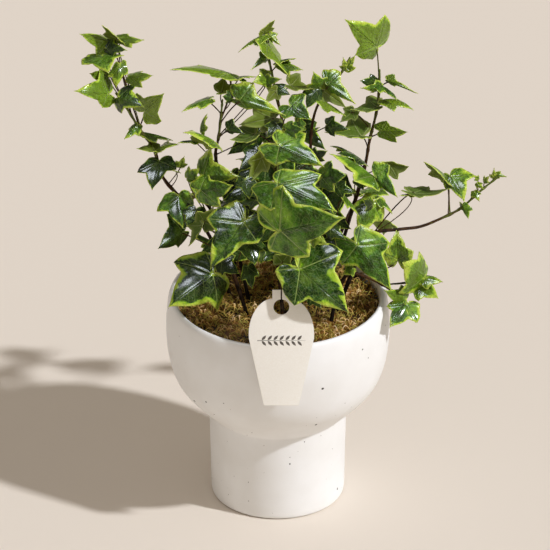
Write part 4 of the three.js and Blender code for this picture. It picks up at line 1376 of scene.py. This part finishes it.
# %% [markdown]
# ## Tag
# The tag is die-cut from uncoated cream card, 0.8 mm thick: round shoulders, a straight taper,
# and a hole closed by a slit tab that hooks over a thin shoot. It is drawn as a filled flat
# curve with a tiny bevel, as a die would press it, and then leaned back on the rim. In place
# of any lettering it carries a plain printed sprig.

# %% Materials: card and ink
def uncoated_card():
    material, tree = new_material("uncoated cream card")
    place = add(tree, "TexCoord").outputs["Object"]
    pulp = add(tree, "TexNoise", {"Vector": place, "Scale": 900.0, "Detail": 5.0})
    tone = add(tree, "ValToRGB", {"Fac": pulp.outputs["Fac"]}, stops=[
        (0.3, linear("#F1ECE1")), (0.7, linear("#F5F1E8"))])
    bump = add(tree, "Bump", {"Height": pulp.outputs["Fac"], "Strength": 0.15,
                              "Distance": 0.00005})
    finish_material(tree, add(tree, "BsdfPrincipled", {
        "Base Color": tone.outputs["Color"], "Roughness": 0.85, "Specular IOR Level": 0.25,
        "Normal": bump.outputs[0]}))
    return material


def printed_ink():
    material, tree = new_material("letterpress ink on card")
    place = add(tree, "TexCoord").outputs["Object"]
    speck = add(tree, "TexNoise", {"Vector": place, "Scale": 2500.0, "Detail": 2.0})
    tone = add(tree, "ValToRGB", {"Fac": speck.outputs["Fac"]}, stops=[
        (0.35, linear("#4C453C")), (0.75, linear("#6E665A"))])
    finish_material(tree, add(tree, "BsdfPrincipled", {
        "Base Color": tone.outputs["Color"], "Roughness": 0.7}))
    return material


card, ink = uncoated_card(), printed_ink()
print("finishes:", card.name, "and", ink.name)

# %% Tag
TAG_WIDTH, TAG_FOOT, TAG_LENGTH, TAG_THICKNESS = 46, 25, 78, 0.8
TAG_LEAN, TAG_HOLE = math.radians(15), 5.6
TAB_WIDTH, TAB_HEIGHT, SLIT = 12.8, 6.5, 1.0
FOOT_CHAMFER, CUT_EDGE = 0.6, 0.12
tag_low, tag_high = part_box("plant_tag")


def bezier(a, b, c, d, steps):
    a, b, c, d = (np.array(p, float) for p in (a, b, c, d))
    return [tuple((1 - t) ** 3 * a + 3 * (1 - t) ** 2 * t * b + 3 * (1 - t) * t ** 2 * c
                  + t ** 3 * d) for t in np.linspace(0, 1, steps)]


def tag_half():
    """Right side of the outline, from the middle of the foot up to the slit and the hole."""
    half, shoulder = TAG_WIDTH / 2, TAG_LENGTH - TAG_WIDTH / 2
    points = [(TAG_FOOT / 2 - FOOT_CHAMFER, 0), (TAG_FOOT / 2, FOOT_CHAMFER)]
    points += bezier((half, shoulder - 6), (half + 1, shoulder + 12), (half * 0.62, TAG_LENGTH),
                     (TAB_WIDTH / 2, TAG_LENGTH), 24)
    points += [(TAB_WIDTH / 2, TAG_LENGTH + TAB_HEIGHT), (SLIT / 2, TAG_LENGTH + TAB_HEIGHT)]
    centre = TAG_LENGTH - TAG_HOLE - 0.4
    start = math.acos(SLIT / 2 / TAG_HOLE)
    points += [(TAG_HOLE * math.cos(a), centre + TAG_HOLE * math.sin(a))
               for a in np.linspace(start, -math.pi / 2, 32)]
    return points


def flat_shape(name, outlines, thickness, bevel):
    """A filled flat curve, thickened and made a mesh. Outlines are in mm."""
    data = bpy.data.curves.new(name, "CURVE")
    data.dimensions = "2D"
    data.fill_mode = "BOTH"
    data.extrude = (thickness / 2 - bevel) * MM
    data.bevel_depth = bevel * MM
    data.offset = -bevel * MM
    for outline in outlines:
        spline = data.splines.new("POLY")
        spline.points.add(len(outline) - 1)
        for point, (x, y) in zip(spline.points, outline):
            point.co = (x * MM, y * MM, 0, 1)
        spline.use_cyclic_u = True
    piece = bpy.data.objects.new(name, data)
    bpy.context.scene.collection.objects.link(piece)
    select_only(piece)
    bpy.ops.object.convert(target="MESH")
    piece = bpy.context.object
    bpy.ops.object.mode_set(mode="EDIT")
    bpy.ops.mesh.select_all(action="SELECT")
    bpy.ops.mesh.remove_doubles(threshold=0.00001)
    bpy.ops.mesh.normals_make_consistent(inside=False)
    bpy.ops.object.mode_set(mode="OBJECT")
    return piece


lean_back = Matrix.Rotation(math.pi / 2 - TAG_LEAN, 4, "X")
tag_front_foot = Vector(((tag_low.x + tag_high.x) / 2, tag_low.y, tag_low.z))
tag_place = Matrix.Translation(tag_front_foot) @ lean_back

right_side = tag_half()
left_side = [(-x, y) for x, y in right_side[:-1]][::-1]
tag = flat_shape("tag", [right_side + left_side], TAG_THICKNESS, CUT_EDGE)
tag.data.transform(Matrix.Translation((0, 0, -TAG_THICKNESS / 2 * MM)))
tag.data.transform(tag_place)
tag.data.materials.append(card)
select_only(tag)
bpy.ops.object.shade_smooth_by_angle(angle=math.radians(30))
register(tag, "card_tag", ["plant_tag"])
print("tag box mm:", [round(v / MM, 1) for v in (*tag_low, *tag_high)])

# %% [markdown]
# The printed sprig is one stem with paired leaflets, 34 mm long. It could be drawn in the
# card's material, but as thin shapes it keeps crisp edges, and it stands a few hundredths of
# a millimetre proud of the card, as heavy letterpress ink does.

# %% Printed sprig
SPRIG_HEIGHT, SPRIG_LENGTH = 47.5, 34
LEAFLET_PAIRS, FIRST_PAIR, PAIR_SPACING = 7, 3.2, 4.2
LEAFLET_ANGLE = math.radians(48)
INK_THICKNESS, INK_EDGE, INK_RISE = 0.1, 0.01, 0.02
sprig_outlines = [[(-SPRIG_LENGTH / 2, -0.2), (SPRIG_LENGTH / 2, -0.05),
                   (SPRIG_LENGTH / 2, 0.05), (-SPRIG_LENGTH / 2, 0.2)]]
leaflet = [(0, 0), (1.0, 0.75), (2.4, 0.95), (3.6, 0.55), (4.6, 0), (3.6, -0.55), (2.4, -0.95),
           (1.0, -0.75)]
for i in range(LEAFLET_PAIRS):
    for side in (-1, 1):
        angle = side * LEAFLET_ANGLE
        root_x = -SPRIG_LENGTH / 2 + FIRST_PAIR + PAIR_SPACING * i
        sprig_outlines.append([
            (root_x + x * math.cos(angle) - y * math.sin(angle),
             side * 0.35 + x * math.sin(angle) + y * math.cos(angle)) for x, y in leaflet])
marks = [flat_shape("mark", [outline], INK_THICKNESS, INK_EDGE) for outline in sprig_outlines]
select_only(*marks)
bpy.ops.object.join()
sprig = bpy.context.object
sprig.data.transform(Matrix.Translation((0, SPRIG_HEIGHT * MM, INK_RISE * MM)))
sprig.data.transform(tag_place)
sprig.data.materials.append(ink)
register(sprig, "printed_sprig")
print("sprig:", len(sprig_outlines) - 1, "leaflets")

# %% [markdown]
# The tag hangs on a short shoot that has lost its leaves and bends forward through the hole.
# It is the same kind of tube as the vines, with a blunt tip.

# %% Tag shoot
SHOOT_RADIUS, SHOOT_TIP = 0.9 * MM, 0.4 * MM
shoot_route = smooth_route([(3, -46, 151), (3, -50, 172), (2.5, -60, 186), (2.5, -73, 189)], 8)
shoot_radii = [SHOOT_RADIUS] * (len(shoot_route) - 1) + [SHOOT_TIP]
shoot = tube("shoot", shoot_route, shoot_radii, sides=10)
set_attribute(shoot.data, "age", np.linspace(0.8, 0.4, len(shoot.data.vertices)))
shoot.data.materials.append(bark)
register(shoot, "ivy_tag_shoot", ["tag_shoot"])
print("shoot:", len(shoot.data.polygons), "faces")
